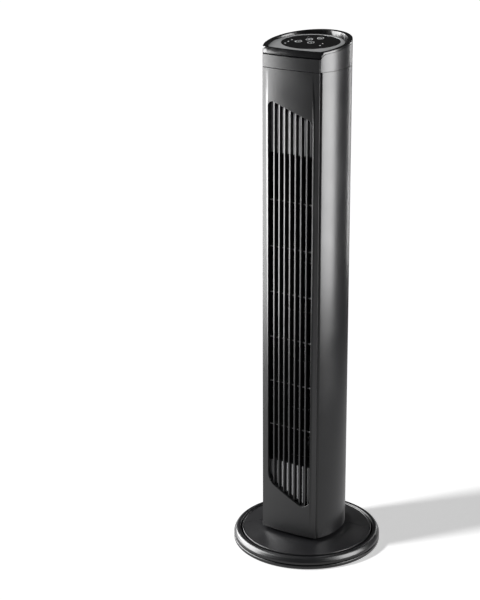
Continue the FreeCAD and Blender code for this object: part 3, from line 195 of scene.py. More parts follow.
def moulded_grain():
    """Fine spark-eroded texture of a moulding, and the slow unevenness of its gloss."""
    tree, given, result = new_group(
        "moulded grain", "ShaderNodeTree",
        [("Grain per metre", "NodeSocketFloat", 2500.0), ("Patches per metre", "NodeSocketFloat", 18.0)],
        [("Height", "NodeSocketFloat"), ("Unevenness", "NodeSocketFloat")])
    place = node(tree, "ShaderNodeTexCoord").outputs["Object"]
    fine = node(tree, "ShaderNodeTexNoise", {
        "Vector": place, "Scale": given.outputs["Grain per metre"], "Detail": 3.0, "Roughness": 0.6})
    pits = node(tree, "ShaderNodeTexVoronoi", {
        "Vector": place, "Scale": given.outputs["Grain per metre"]}, feature="SMOOTH_F1")
    patches = node(tree, "ShaderNodeTexNoise", {
        "Vector": place, "Scale": given.outputs["Patches per metre"], "Detail": 4.0})
    height = reckon(tree, "MULTIPLY_ADD", pits.outputs["Distance"], 0.35, fine.outputs[0])
    tree.links.new(height, result.inputs["Height"])
    tree.links.new(patches.outputs[0], result.inputs["Unevenness"])
    return tree


def rubbed_edges():
    """Mask of the eased edges where handling has polished or greyed the surface."""
    tree, given, result = new_group(
        "rubbed edges", "ShaderNodeTree",
        [("Breaks per metre", "NodeSocketFloat", 60.0), ("Strength", "NodeSocketFloat", 0.5)],
        [("Mask", "NodeSocketFloat")])
    place = node(tree, "ShaderNodeTexCoord").outputs["Object"]
    edge = node(tree, "ShaderNodeAttribute", attribute_name="eased_edge")
    breaks = node(tree, "ShaderNodeTexNoise", {
        "Vector": place, "Scale": given.outputs["Breaks per metre"], "Detail": 5.0})
    broken = node(tree, "ShaderNodeMapRange", {
        "Value": breaks.outputs[0], "From Min": 0.42, "From Max": 0.66})
    strong = reckon(tree, "MULTIPLY", edge.outputs["Fac"], broken.outputs[0])
    tree.links.new(reckon(tree, "MULTIPLY", strong, given.outputs["Strength"]), result.inputs["Mask"])
    return tree


def drawn_streaks():
    """Long fine streaks left by drawing or turning a metal."""
    tree, given, result = new_group(
        "drawn streaks", "ShaderNodeTree",
        [("Streaks per metre", "NodeSocketFloat", 900.0)],
        [("Height", "NodeSocketFloat"), ("Unevenness", "NodeSocketFloat")])
    place = node(tree, "ShaderNodeTexCoord").outputs["Object"]
    drawn = node(tree, "ShaderNodeMapping", {"Vector": place, "Scale": (1.0, 1.0, 0.06)})
    lines = node(tree, "ShaderNodeTexNoise", {
        "Vector": drawn.outputs[0], "Scale": given.outputs["Streaks per metre"], "Detail": 2.0})
    tarnish = node(tree, "ShaderNodeTexNoise", {"Vector": place, "Scale": 40.0, "Detail": 4.0})
    tree.links.new(lines.outputs[0], result.inputs["Height"])
    tree.links.new(tarnish.outputs[0], result.inputs["Unevenness"])
    return tree


GRAIN = moulded_grain()
EDGES = rubbed_edges()
STREAKS = drawn_streaks()


def blend_colour(tree, mask, plain, other):
    mixed = node(tree, "ShaderNodeMix", data_type="RGBA")
    for name, value in (("Factor", mask), ("A", plain), ("B", other)):
        socket = [item for item in mixed.inputs if item.name == name and item.enabled][0]
        if isinstance(value, bpy.types.NodeSocket):
            tree.links.new(value, socket)
        else:
            socket.default_value = value
    return [item for item in mixed.outputs if item.enabled][0]


def finish(name, colour, rough, texture=GRAIN, pitch=2500.0, depth=0.02, wear=0.35,
           worn=None, shade=0.15, **shader):
    """Material whose colour, gloss and relief vary over the surface."""
    made = bpy.data.materials.new(name)
    made.use_nodes = True
    tree = made.node_tree
    surface = tree.nodes["Principled BSDF"]
    relief = node(tree, "ShaderNodeGroup", node_tree=texture)
    relief.inputs[0].default_value = pitch
    rub = node(tree, "ShaderNodeGroup", {"Strength": wear}, node_tree=EDGES)
    base = (*colour, 1.0)
    dark = (*[part * (1.0 - shade) for part in colour], 1.0)
    pale = (*(worn or [min(1.0, part * 1.6 + 0.03) for part in colour]), 1.0)
    toned = blend_colour(tree, relief.outputs["Unevenness"], dark, base)
    tree.links.new(blend_colour(tree, rub.outputs["Mask"], toned, pale), surface.inputs["Base Color"])
    gloss = node(tree, "ShaderNodeMapRange", {
        "Value": relief.outputs["Unevenness"], "From Min": 0.3, "From Max": 0.7,
        "To Min": rough[0], "To Max": rough[1]})
    rougher = reckon(tree, "MULTIPLY_ADD", rub.outputs["Mask"], 0.12, gloss.outputs[0])
    tree.links.new(rougher, surface.inputs["Roughness"])
    bump = node(tree, "ShaderNodeBump", {
        "Height": relief.outputs["Height"], "Distance": depth * MM, "Strength": 0.35})
    tree.links.new(bump.outputs[0], surface.inputs["Normal"])
    for label, value in shader.items():
        surface.inputs[label.replace("_", " ")].default_value = value
    return made


FINISHES = {
    "casing": finish("satin black casing", (0.0050, 0.0050, 0.0055), (0.28, 0.34),
                     worn=(0.03, 0.03, 0.031)),
    "grille_front": finish("satin black front", (0.0045, 0.0045, 0.0050), (0.30, 0.36),
                           worn=(0.03, 0.03, 0.031)),
    "gloss_black": finish("polished black cap", (0.0045, 0.0045, 0.0050), (0.20, 0.26), depth=0.004,
                          pitch=900.0, wear=0.25, worn=(0.03, 0.03, 0.031)),
    "panel_glass": finish("black window", (0.003, 0.003, 0.0035), (0.04, 0.08), depth=0.002,
                          pitch=400.0, wear=0.1, worn=(0.02, 0.02, 0.021)),
    "bezel_grey": finish("silver grey paint", (0.47, 0.475, 0.48), (0.30, 0.38), pitch=4000.0,
                         depth=0.006, wear=0.4, worn=(0.62, 0.63, 0.64), Metallic=0.35),
    "button_black": finish("black keys", (0.006, 0.006, 0.0065), (0.14, 0.2), depth=0.004,
                           worn=(0.03, 0.03, 0.031)),
    "light_pipe": finish("clear light guide", (0.78, 0.80, 0.83), (0.2, 0.28), depth=0.004,
                         Emission_Color=(1.0, 1.0, 1.0, 1.0), Emission_Strength=0.25),
    "inner_plastic": finish("black inner moulding", (0.012, 0.012, 0.013), (0.42, 0.52)),
    "impeller_plastic": finish("filled nylon", (0.010, 0.010, 0.011), (0.4, 0.5), depth=0.04),
    "zinc_steel": finish("zinc plated steel", (0.55, 0.55, 0.56), (0.28, 0.42), STREAKS, 900.0,
                         0.01, Metallic=1.0),
    "motor_steel": finish("pressed steel", (0.30, 0.30, 0.31), (0.35, 0.5), STREAKS, 700.0,
                          0.01, Metallic=0.9),
    "rubber": finish("black rubber", (0.018, 0.018, 0.018), (0.62, 0.75), pitch=1500.0, depth=0.05),
    "bronze": finish("sintered bronze", (0.50, 0.33, 0.15), (0.35, 0.5), pitch=3000.0, depth=0.03,
                     Metallic=1.0),
    "acetal": finish("natural acetal", (0.78, 0.77, 0.72), (0.35, 0.45), depth=0.01),
    "circuit_board": finish("green lacquered board", (0.03, 0.16, 0.07), (0.25, 0.35), depth=0.01),
}
PRINT = finish("pale key print", (0.72, 0.73, 0.74), (0.35, 0.45), depth=0.004, wear=0.2)
# Light grey whose lightness is painted: it stands in for the glossy reflection seen on the baffles and for
# the lit tops of the grille ribs.
PAINTED_SHEEN_GREY = finish("grey with painted sheen", (0.40, 0.403, 0.41), (0.38, 0.46))

SLOT_NODES = {
    "casing": "rear_shell cap_shell rear_grille base_front_half base_rear_half base_rim base_pan",
    "grille_front": "front_panel cap_front",
    "gloss_black": "control_housing",
    "panel_glass": "panel_lens",
    "bezel_grey": "control_bezel",
    "button_black": "button_power button_speed button_timer button_swing",
    "light_pipe": "indicator_lights",
    "zinc_steel": "base_screws turret_screws gear_screws rear_screws motor_screws",
    "motor_steel": "ballast_ring motor_stator motor_case_lower motor_case_upper motor_rotor"
                   " swing_motor impeller_hub",
    "rubber": "rubber_feet motor_mounts bearing_mount wiring_loom cord_gland",
    "bronze": "bearing_bush",
    "acetal": "slide_washer swing_gear swing_pinion",
    "circuit_board": "control_board",
    "impeller_plastic": "impeller_end_disc " + " ".join("impeller_stage_%d" % n for n in range(1, 7)),
}


def dress_frame():
    """Give every carried-over node its finish."""
    slot_of = {name: slot for slot, names in SLOT_NODES.items() for name in names.split()}
    for name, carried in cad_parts.items():
        carried.data.materials.clear()
        carried.data.materials.append(FINISHES[slot_of.get(name, "inner_plastic")])
    # The baffles get the light grey that paints in their glossy reflection.
    for name in ("upper_baffle", "lower_baffle"):
        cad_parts[name].data.materials.clear()
        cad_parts[name].data.materials.append(PAINTED_SHEEN_GREY)


# -------------------------------------------------------------- mesh helpers

def made_object(name, mesh, *materials):
    item = bpy.data.objects.new(name, mesh)
    bpy.context.scene.collection.objects.link(item)
    if mesh.materials:
        mesh.materials.clear()
    for material in materials:
        mesh.materials.append(material)
    return item


def settled(item):
    """Turn an object's modifiers into plain geometry and mark the eased edges."""
    bpy.context.view_layer.update()
    ready = item.evaluated_get(bpy.context.evaluated_depsgraph_get())
    mesh = bpy.data.meshes.new_from_object(ready)
    marks = [0.0] * len(mesh.polygons)
    for face in mesh.polygons:
        if face.material_index:
            marks[face.index] = 1.0
            face.material_index = 0
    attribute = mesh.attributes.new("eased_edge", "FLOAT", "FACE")
    attribute.data.foreach_set("value", marks)
    while len(mesh.materials) > 1:
        mesh.materials.pop()
    item.modifiers.clear()
    item.data = mesh
    mesh.name = item.name
    return item


def thicken(item, wall):
    """Grow a wall inwards from a sheet."""
    thick = item.modifiers.new("wall", "SOLIDIFY")
    thick.thickness = wall
    thick.offset = -1.0
    thick.use_even_offset = True


def ease_edges(item, width, angle, steps):
    """Round the sharp edges, with the second material marking the rounded faces."""
    soft = item.modifiers.new("ease", "BEVEL")
    soft.width = width
    soft.segments = steps
    soft.limit_method = "ANGLE"
    soft.angle_limit = math.radians(angle)
    soft.material = 1
    soft.harden_normals = True


def formed(name, mesh, material, wall=0.0, ease=EASE, angle=BREAK_ANGLE, steps=3):
    """Object with a wall thickness and eased edges, as plain geometry."""
    item = made_object(name, mesh, material, material)
    for face in mesh.polygons:
        face.use_smooth = True
    if wall:
        thicken(item, wall)
    ease_edges(item, ease, angle, steps)
    return settled(item)


def skin_normal(place, facing):
    """Exact normal where a piece follows the casing's own surfaces, else None."""
    if facing.z > 0.99:
        return facing
    arm = Vector((place.x, place.y - FRONT_CENTRE, 0.0))
    share = Vector((place.x / OVAL_HALF_WIDTH, (place.y - OVAL_CENTRE) / OVAL_HALF_DEPTH, 0.0))
    if abs(arm.length - FRONT_RADIUS) < 0.02 * MM:
        exact = arm.normalized()
    elif abs(share.length - 1.0) < 0.0005:
        exact = Vector((share.x / OVAL_HALF_WIDTH, share.y / OVAL_HALF_DEPTH, 0.0)).normalized()
    else:
        return None
    return None if exact.dot(facing) < -0.2 or abs(facing.z) > 0.9 else exact


def true_shading(item):
    """Shade flat tops flat, and broad curved faces by the surface they follow."""
    mesh = item.data
    normals = [Vector(corner.vector) for corner in mesh.corner_normals]
    for face in mesh.polygons:
        for corner in face.loop_indices:
            place = mesh.vertices[mesh.loops[corner].vertex_index].co
            normals[corner] = skin_normal(place, face.normal) or normals[corner]
    mesh.normals_split_custom_set(normals)
    return item


def issue(item, body, slot, *replaced):
    """Attach a finished piece to its body, and hide the nodes it replaces."""
    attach(item, body)
    if replaced:
        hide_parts(*replaced)
    return item


def mesh_of(bm, name, turn_out=False):
    if turn_out:
        bmesh.ops.remove_doubles(bm, verts=bm.verts, dist=0.001 * MM)
        bmesh.ops.recalc_face_normals(bm, faces=bm.faces)
    for face in bm.faces:
        face.smooth = True
    mesh = bpy.data.meshes.new(name)
    bm.to_mesh(mesh)
    bm.free()
    return mesh


def prism(bm, corners, low, high):
    """Add a four-sided bar between two levels."""
    lower = [bm.verts.new((x, y, low)) for x, y in corners]
    upper = [bm.verts.new((x, y, high)) for x, y in corners]
    for step in range(4):
        after = (step + 1) % 4
        bm.faces.new((lower[step], lower[after], upper[after], upper[step]))
    bm.faces.new(lower[::-1])
    bm.faces.new(upper)


def eased_corners(points, closed=True):
    """Profile from (radius, height, rounding) corners, with each rounding drawn as an arc."""
    drawn = []
    count = len(points)
    for index, (across, up, rounding) in enumerate(points):
        here = Vector((across, up))
        if not rounding or (not closed and index in (0, count - 1)):
            drawn.append(here)
            continue
        before = Vector(points[index - 1][:2]) - here
        after = Vector(points[(index + 1) % count][:2]) - here
        half = before.angle(after) / 2
        reach = min(rounding / math.tan(half), before.length * 0.49, after.length * 0.49)
        radius = reach * math.tan(half)
        middle = here + (before.normalized() + after.normalized()).normalized() * radius / math.sin(half)
        start = here + before.normalized() * reach - middle
        stop = here + after.normalized() * reach - middle
        sweep = start.angle_signed(stop)
        for step in range(ROUND_STEPS + 1):
            turned = start.copy()
            turned.rotate(Matrix.Rotation(-sweep * step / ROUND_STEPS, 2))
            drawn.append(middle + turned)
    return drawn


def spun(points, closed=True, steps=SPIN_STEPS):
    """Mesh turned about Z from a rounded profile."""
    profile = eased_corners(points, closed)
    bm = bmesh.new()
    rings = []
    for step in range(steps):
        turn = 2 * math.pi * step / steps
        rings.append([bm.verts.new((p.x * math.cos(turn), p.x * math.sin(turn), p.y)) for p in profile])
    spans = len(profile) if closed else len(profile) - 1
    for step in range(steps):
        here, there = rings[step], rings[(step + 1) % steps]
        for index in range(spans):
            following = (index + 1) % len(profile)
            bm.faces.new((here[index], there[index], there[following], here[following]))
    return bm


def weighed(item):
    """Shading that follows the broad faces of a turned or lofted piece."""
    even = item.modifiers.new("shading", "WEIGHTED_NORMAL")
    even.keep_sharp = True
    return settled(item)


# --------------------------------------------------------------- column plan

def arc_y(x, inset=0.0):
    return FRONT_CENTRE - math.sqrt((FRONT_RADIUS - inset) ** 2 - x * x)


def oval_half(y):
    """Half width of the oval at a depth."""
    return OVAL_HALF_WIDTH * math.sqrt(max(0.0, 1 - ((y - OVAL_CENTRE) / OVAL_HALF_DEPTH) ** 2))


def oval_at(turn, inset=0.0):
    """Point of the oval; a turn of zero is at its right, a quarter is at its back."""
    return (
        (OVAL_HALF_WIDTH - inset) * math.cos(turn),
        OVAL_CENTRE + (OVAL_HALF_DEPTH - inset) * math.sin(turn),
    )


def corner_turn(inset=0.0):
    """Turn at which the oval meets the front arc."""
    low, high = -math.pi / 2, 0.0
    for _ in range(50):
        middle = (low + high) / 2
        x, y = oval_at(middle, inset)
        if y < arc_y(x, inset):
            low = middle
        else:
            high = middle
    return high


def around_back(steps=PLAN_STEPS, extra=(), inset=0.0):
    """Plan points from the right front corner round the back to the left one."""
    first = corner_turn(inset)
    turns = [first + (math.pi - 2 * first) * step / steps for step in range(steps + 1)]
    spacing = (math.pi - 2 * first) / steps
    for x in extra:
        turn = math.acos(x / (OVAL_HALF_WIDTH - inset))
        turns = [t for t in turns if abs(t - turn) > spacing / 3] + [turn]
    return [oval_at(turn, inset) for turn in sorted(turns)]


def shell_path(extra=()):
    """Plan of the side and rear wall, wrapping onto the front at both ends."""
    lip = [(SHELL_EDGE, arc_y(SHELL_EDGE))]
    return lip + around_back(extra=extra) + [(-SHELL_EDGE, arc_y(SHELL_EDGE))]


def front_path(stations):
    """Plan of a front plate with a return flange down each side."""
    edge = [(PANEL_EDGE, FLANGE_BACK)]
    face = [(x, arc_y(x)) for x in sorted(stations, reverse=True)]
    return edge + face + [(-PANEL_EDGE, FLANGE_BACK)]


def curtain(path, levels, skip=None):
    """Upright sheet over a plan, with level rows given for each plan point; faces outwards."""
    bm = bmesh.new()
    columns = [[bm.verts.new((x, y, z)) for z in levels(x, y)] for x, y in path]
    for left, (here, there) in enumerate(zip(columns, columns[1:])):
        for row in range(len(here) - 1):
            if skip and skip(path[left], path[left + 1], row):
                continue
            bm.faces.new((here[row], there[row], there[row + 1], here[row + 1]))
    return bm


# ---------------------------------------------------------- column casings

def window_edge(x, side_left, side_right, left_radius, right_radius, rising):
    """Height of a slanted window edge with its rounded corners; rising is +1 for the top edge."""
    slope = (side_right - side_left) / (2 * WINDOW_HALF)
    length = math.hypot(1.0, slope)
    for radius, end, level in ((left_radius, -1, side_left), (right_radius, 1, side_right)):
        inwards = -end
        middle_x = end * WINDOW_HALF + inwards * radius
        middle_z = level + slope * inwards * radius - rising * radius * length
        touch = middle_x - rising * radius * slope / length
        if (x - touch) * end > 0:
            reach = math.sqrt(max(0.0, radius ** 2 - (x - middle_x) ** 2))
            return middle_z + rising * reach
    return side_left + slope * (x + WINDOW_HALF)


def window_top(x):
    return window_edge(x, *WINDOW_TOP, CORNER_SMALL, CORNER_LARGE, 1)


def window_bottom(x):
    return window_edge(x, *WINDOW_BOTTOM, CORNER_WIDE, CORNER_LARGE, -1)


def window_stations():
    """Plan stations across the opening, close together where its corners turn."""
    found = {0.0}
    for radius in (CORNER_SMALL, CORNER_LARGE, CORNER_WIDE):
        for step in range(ROUND_STEPS * 2 + 1):
            turn = math.pi / 2 * step / (ROUND_STEPS * 2)
            found.add(WINDOW_HALF - radius * (1 - math.cos(turn)))
    inner = WINDOW_HALF - CORNER_WIDE
    found.update(inner * step / 10 for step in range(11))
    both = sorted(found | {-x for x in found})
    kept = [both[0]]
    for x in both[1:]:
        if x - kept[-1] > 0.05 * MM:
            kept.append(x)
    kept[-1] = WINDOW_HALF
    return kept


def front_panel():
    low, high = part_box("front_panel")
    stations = window_stations()
    outer = [PANEL_EDGE, (PANEL_EDGE + WINDOW_HALF) / 2]
    path = front_path(stations + outer + [-x for x in outer])

    def levels(x, y):
        across = max(-WINDOW_HALF, min(WINDOW_HALF, x))
        bottom, top = window_bottom(across), window_top(across)
        return [low.z, (low.z + bottom) / 2, bottom, top, (top + high.z) / 2, high.z]

    def inside(here, there, row):
        middle = (here[0] + there[0]) / 2
        return row == 2 and abs(middle) < WINDOW_HALF

    sheet = mesh_of(curtain(path, levels, inside), "front_panel_sheet")
    panel = formed("front_panel_skin", sheet, FINISHES["grille_front"], PANEL_WALL)
    return issue(true_shading(panel), "column", "grille_front", "front_panel")


def window_loop():
    """Outline of the opening, anticlockwise as seen from the front."""
    stations = window_stations()
    lower = [(x, window_bottom(x)) for x in stations]
    upper = [(x, window_top(x)) for x in reversed(stations)]
    return lower + upper


def window_rim():
    """Deep frame round the opening, with a rounded bead at its front."""
    loop = window_loop()
    count = len(loop)
    bead = WINDOW_FRAME / 2
    section = [(0.0, None)]
    section += [
        (bead * (1 - math.cos(math.pi * step / ROUND_STEPS)),
         bead * math.sin(math.pi * step / ROUND_STEPS)) for step in range(ROUND_STEPS + 1)
    ]
    section.append((WINDOW_FRAME, None))
    proud = bead * 0.6
    bm = bmesh.new()
    rings = []
    for index, (x, z) in enumerate(loop):
        back = Vector(loop[index - 1]) - Vector((x, z))
        ahead = Vector(loop[(index + 1) % count]) - Vector((x, z))
        along = (ahead.normalized() - back.normalized()).normalized()
        outwards = Vector((along.y, -along.x))
        ring = []
        for out, forward in section:
            place = Vector((x, z)) + outwards * out
            face = arc_y(place.x) + bead - proud
            depth = WINDOW_FRAME_BACK if forward is None else face - forward
            ring.append(bm.verts.new((place.x, depth, place.y)))
        rings.append(ring)
    width = len(section)
    for index in range(count):
        here, there = rings[index], rings[(index + 1) % count]
        for step in range(width):
            following = (step + 1) % width
            bm.faces.new((here[step], there[step], there[following], here[following]))
    rim = made_object("window_rim", mesh_of(bm, "window_rim", True), FINISHES["grille_front"])
    return issue(weighed(rim), "column", "grille_front")


def rear_shell():
    low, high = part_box("rear_shell")
    opening_low, opening_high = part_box("rear_grille")
    path = shell_path(extra=(INTAKE_HALF, -INTAKE_HALF))
    bottom, top = opening_low.z - FIT_GAP, opening_high.z + FIT_GAP

    def levels(x, y):
        return [low.z, bottom, top, high.z]

    def inside(here, there, row):
        middle = (here[0] + there[0]) / 2
        return row == 1 and abs(middle) < INTAKE_HALF and here[1] > 0

    sheet = mesh_of(curtain(path, levels, inside), "rear_shell_sheet")
    shell = made_object("rear_casing", sheet, FINISHES["casing"], FINISHES["casing"])
    wells = screw_wells()
    thicken(shell, SHELL_WALL)
    holes = shell.modifiers.new("wells", "BOOLEAN")
    holes.operation = "DIFFERENCE"
    holes.solver = "EXACT"
    holes.object = wells
    ease_edges(shell, EASE, BREAK_ANGLE, 3)
    settled(shell)
    bpy.data.objects.remove(wells)
    issue(true_shading(shell), "column", "casing", "rear_shell")
    cups = made_object("screw_cups", well_linings(), FINISHES["casing"])
    return issue(weighed(cups), "column", "casing")


def well_places():
    """Centres of the four rear screws, from their heads."""
    low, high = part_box("rear_screws")
    left, right = low.x + SCREW_HEAD, high.x - SCREW_HEAD
    bottom, top = low.z + SCREW_HEAD, high.z - SCREW_HEAD
    return [(x, z) for x in (left, right) for z in (bottom, top)]


def laid_back(bm, x, z):
    """Mesh of something turned about Z, laid along +Y from the floor of a well."""
    turn = Matrix.Rotation(-math.pi / 2, 4, "X")
    place = Matrix.Translation((x, WELL_FLOOR, z))
    bmesh.ops.transform(bm, matrix=place @ turn, verts=bm.verts)
    mesh = bpy.data.meshes.new("laid back")
    bm.to_mesh(mesh)
    bm.free()
    return mesh


def screw_wells():
    """Tools that open the shell over each rear screw."""
    whole = bpy.data.meshes.new("wells")
    bm = bmesh.new()
    for x, z in well_places():
        inner = CUP_RADIUS - CUP_WALL
        tool = spun([(inner, 0.0, 0), (inner, WELL_LENGTH, 0)], False, CUP_STEPS)
        bmesh.ops.holes_fill(tool, edges=tool.edges)
        bmesh.ops.recalc_face_normals(tool, faces=tool.faces)
        bm.from_mesh(laid_back(tool, x, z))
    bm.to_mesh(whole)
    bm.free()
    return made_object("wells", whole, FINISHES["casing"])


def well_linings():
    """Cup behind each opening, where the screw head sits."""
    bm = bmesh.new()
    inner = CUP_RADIUS - CUP_WALL
    for x, z in well_places():
        rim = oval_depth(x) - CUP_SETBACK - WELL_FLOOR
        cup = spun([
            (CUP_HOLE, 0.0, 0), (CUP_HOLE, CUP_FLOOR, 0.3 * MM), (inner, CUP_FLOOR, 0.4 * MM),
            (inner, rim, 0), (CUP_RADIUS, rim - CUP_WALL, 0), (CUP_RADIUS, 0.0, 0)],
            True, CUP_STEPS)
        bm.from_mesh(laid_back(cup, x, z))
    return mesh_of(bm, "screw_cups", True)


def oval_depth(x, inset=0.0):
    """Depth of the oval's rear wall at a sideways place."""
    share = 1 - (x / (OVAL_HALF_WIDTH - inset)) ** 2
    return OVAL_CENTRE + (OVAL_HALF_DEPTH - inset) * math.sqrt(share)


# -------------------------------------------------- repeated pieces by nodes

def grown(name, tree, base, values, material):
    """Plain mesh from a geometry tree, its inputs set by name before it is evaluated."""
    item = bpy.data.objects.new(name, base or bpy.data.meshes.new(name))
    bpy.context.scene.collection.objects.link(item)
    modifier = item.modifiers.new("tree", "NODES")
    modifier.node_group = tree
    for socket in tree.interface.items_tree:
        if socket.item_type == "SOCKET" and socket.in_out == "INPUT" and socket.name in values:
            modifier[socket.identifier] = values[socket.name]
    item.update_tag()
    bpy.context.view_layer.update()
    ready = item.evaluated_get(bpy.context.evaluated_depsgraph_get())
    mesh = bpy.data.meshes.new_from_object(ready)
    item.modifiers.clear()
    bpy.data.objects.remove(item)
    for face in mesh.polygons:
        face.use_smooth = True
    return made_object(name, mesh, material)


def number_inputs(*names):
    return [(name, "NodeSocketFloat", 0.0) for name in names]


def bar_of_unit_length(tree, width, depth, easing):
    """Upright bar with rounded edges, one metre long and closed at both ends."""
    outline = node(tree, "GeometryNodeCurvePrimitiveQuadrilateral", {"Width": width, "Height": depth})
    soft = node(tree, "GeometryNodeFilletCurve", {
        "Curve": outline.outputs[0], "Radius": easing, "Count": 6, "Limit Radius": True}, mode="POLY")
    base = node(tree, "GeometryNodeFillCurve", {"Curve": soft.outputs[0]}, mode="NGONS")
    raised = node(tree, "GeometryNodeExtrudeMesh", {
        "Mesh": base.outputs[0], "Offset": (0.0, 0.0, 1.0), "Offset Scale": 1.0, "Individual": False})
    under = node(tree, "GeometryNodeFlipFaces", {"Mesh": base.outputs[0]})
    both = node(tree, "GeometryNodeJoinGeometry")
    tree.links.new(raised.outputs["Mesh"], both.inputs[0])
    tree.links.new(under.outputs[0], both.inputs[0])
    return node(tree, "GeometryNodeMergeByDistance", {
        "Geometry": both.outputs[0], "Distance": 0.001 * MM}).outputs[0]


def end_tree(tree, geometry, material, result):
    real = node(tree, "GeometryNodeRealizeInstances", {"Geometry": geometry})
    painted = node(tree, "GeometryNodeSetMaterial", {
        "Geometry": real.outputs[0], "Material": material})
    tree.links.new(painted.outputs[0], result.inputs["Geometry"])


def slat_tree():
    """Upright slats whose ends follow the slanted edges and whose faces follow the front arc."""
    tree, given, result = new_group(
        "upright slats", "GeometryNodeTree",
        [("Count", "NodeSocketInt", 7), *number_inputs(
            "Pitch", "Width", "Depth", "Easing", "Front radius", "Front centre", "Inset",
            "Bottom", "Bottom slope", "Top", "Top slope", "Turn"), ("Finish", "NodeSocketMaterial", None)],
        [("Geometry", "NodeSocketGeometry")])
    give = given.outputs
    start = reckon(tree, "MULTIPLY", reckon(tree, "SUBTRACT", give["Count"], 1.0),
                   reckon(tree, "MULTIPLY", give["Pitch"], -0.5))
    begin = node(tree, "ShaderNodeCombineXYZ", {"X": start})
    step = node(tree, "ShaderNodeCombineXYZ", {"X": give["Pitch"]})
    line = node(tree, "GeometryNodeMeshLine", {
        "Count": give["Count"], "Start Location": begin.outputs[0], "Offset": step.outputs[0]})
    place = node(tree, "ShaderNodeSeparateXYZ", {0: node(tree, "GeometryNodeInputPosition").outputs[0]})
    x = place.outputs["X"]
    reach = reckon(tree, "SQRT", reckon(
        tree, "SUBTRACT", reckon(tree, "MULTIPLY", give["Front radius"], give["Front radius"]),
        reckon(tree, "MULTIPLY", x, x)))
    face = reckon(tree, "ADD", reckon(tree, "SUBTRACT", give["Front centre"], reach), give["Inset"])
    y = reckon(tree, "MULTIPLY_ADD", give["Depth"], 0.5, face)
    bottom = reckon(tree, "MULTIPLY_ADD", x, give["Bottom slope"], give["Bottom"])
    top = reckon(tree, "MULTIPLY_ADD", x, give["Top slope"], give["Top"])
    spot = node(tree, "ShaderNodeCombineXYZ", {"X": x, "Y": y, "Z": bottom})
    moved = node(tree, "GeometryNodeSetPosition", {
        "Geometry": line.outputs[0], "Position": spot.outputs[0]})
    tall = node(tree, "GeometryNodeCaptureAttribute", {"Geometry": line.outputs[0]})
    tall.capture_items.new("FLOAT", "Length")
    tree.links.new(reckon(tree, "SUBTRACT", top, bottom), tall.inputs["Length"])
    tree.links.new(tall.outputs["Geometry"], moved.inputs["Geometry"])
    size = node(tree, "ShaderNodeCombineXYZ", {"X": 1.0, "Y": 1.0, "Z": tall.outputs["Length"]})
    lean = reckon(tree, "ARCSINE", reckon(tree, "DIVIDE", x, give["Front radius"]))
    turned = node(tree, "ShaderNodeCombineXYZ", {"Z": reckon(tree, "ADD", lean, give["Turn"])})
    bar = bar_of_unit_length(tree, give["Width"], give["Depth"], give["Easing"])
    placed = node(tree, "GeometryNodeInstanceOnPoints", {
        "Points": moved.outputs[0], "Instance": bar, "Scale": size.outputs[0],
        "Rotation": turned.outputs[0]})
    end_tree(tree, placed.outputs[0], give["Finish"], result)
    return tree


def rib_tree():
    """Level ribs across the opening, one above another."""
    tree, given, result = new_group(
        "level ribs", "GeometryNodeTree",
        [("Count", "NodeSocketInt", 6), *number_inputs(
            "Pitch", "First", "Length", "Height", "Depth", "Easing", "Middle depth"),
         ("Finish", "NodeSocketMaterial", None)],
        [("Geometry", "NodeSocketGeometry")])
    give = given.outputs
    half = reckon(tree, "MULTIPLY", give["Length"], -0.5)
    begin = node(tree, "ShaderNodeCombineXYZ", {
        "X": half, "Y": give["Middle depth"], "Z": give["First"]})
    step = node(tree, "ShaderNodeCombineXYZ", {"Z": give["Pitch"]})
    line = node(tree, "GeometryNodeMeshLine", {
        "Count": give["Count"], "Start Location": begin.outputs[0], "Offset": step.outputs[0]})
    size = node(tree, "ShaderNodeCombineXYZ", {"X": 1.0, "Y": 1.0, "Z": give["Length"]})
    bar = bar_of_unit_length(tree, give["Height"], give["Depth"], give["Easing"])
    placed = node(tree, "GeometryNodeInstanceOnPoints", {
        "Points": line.outputs[0], "Instance": bar, "Scale": size.outputs[0],
        "Rotation": (0.0, math.pi / 2, 0.0)})
    end_tree(tree, placed.outputs[0], give["Finish"], result)
    return tree


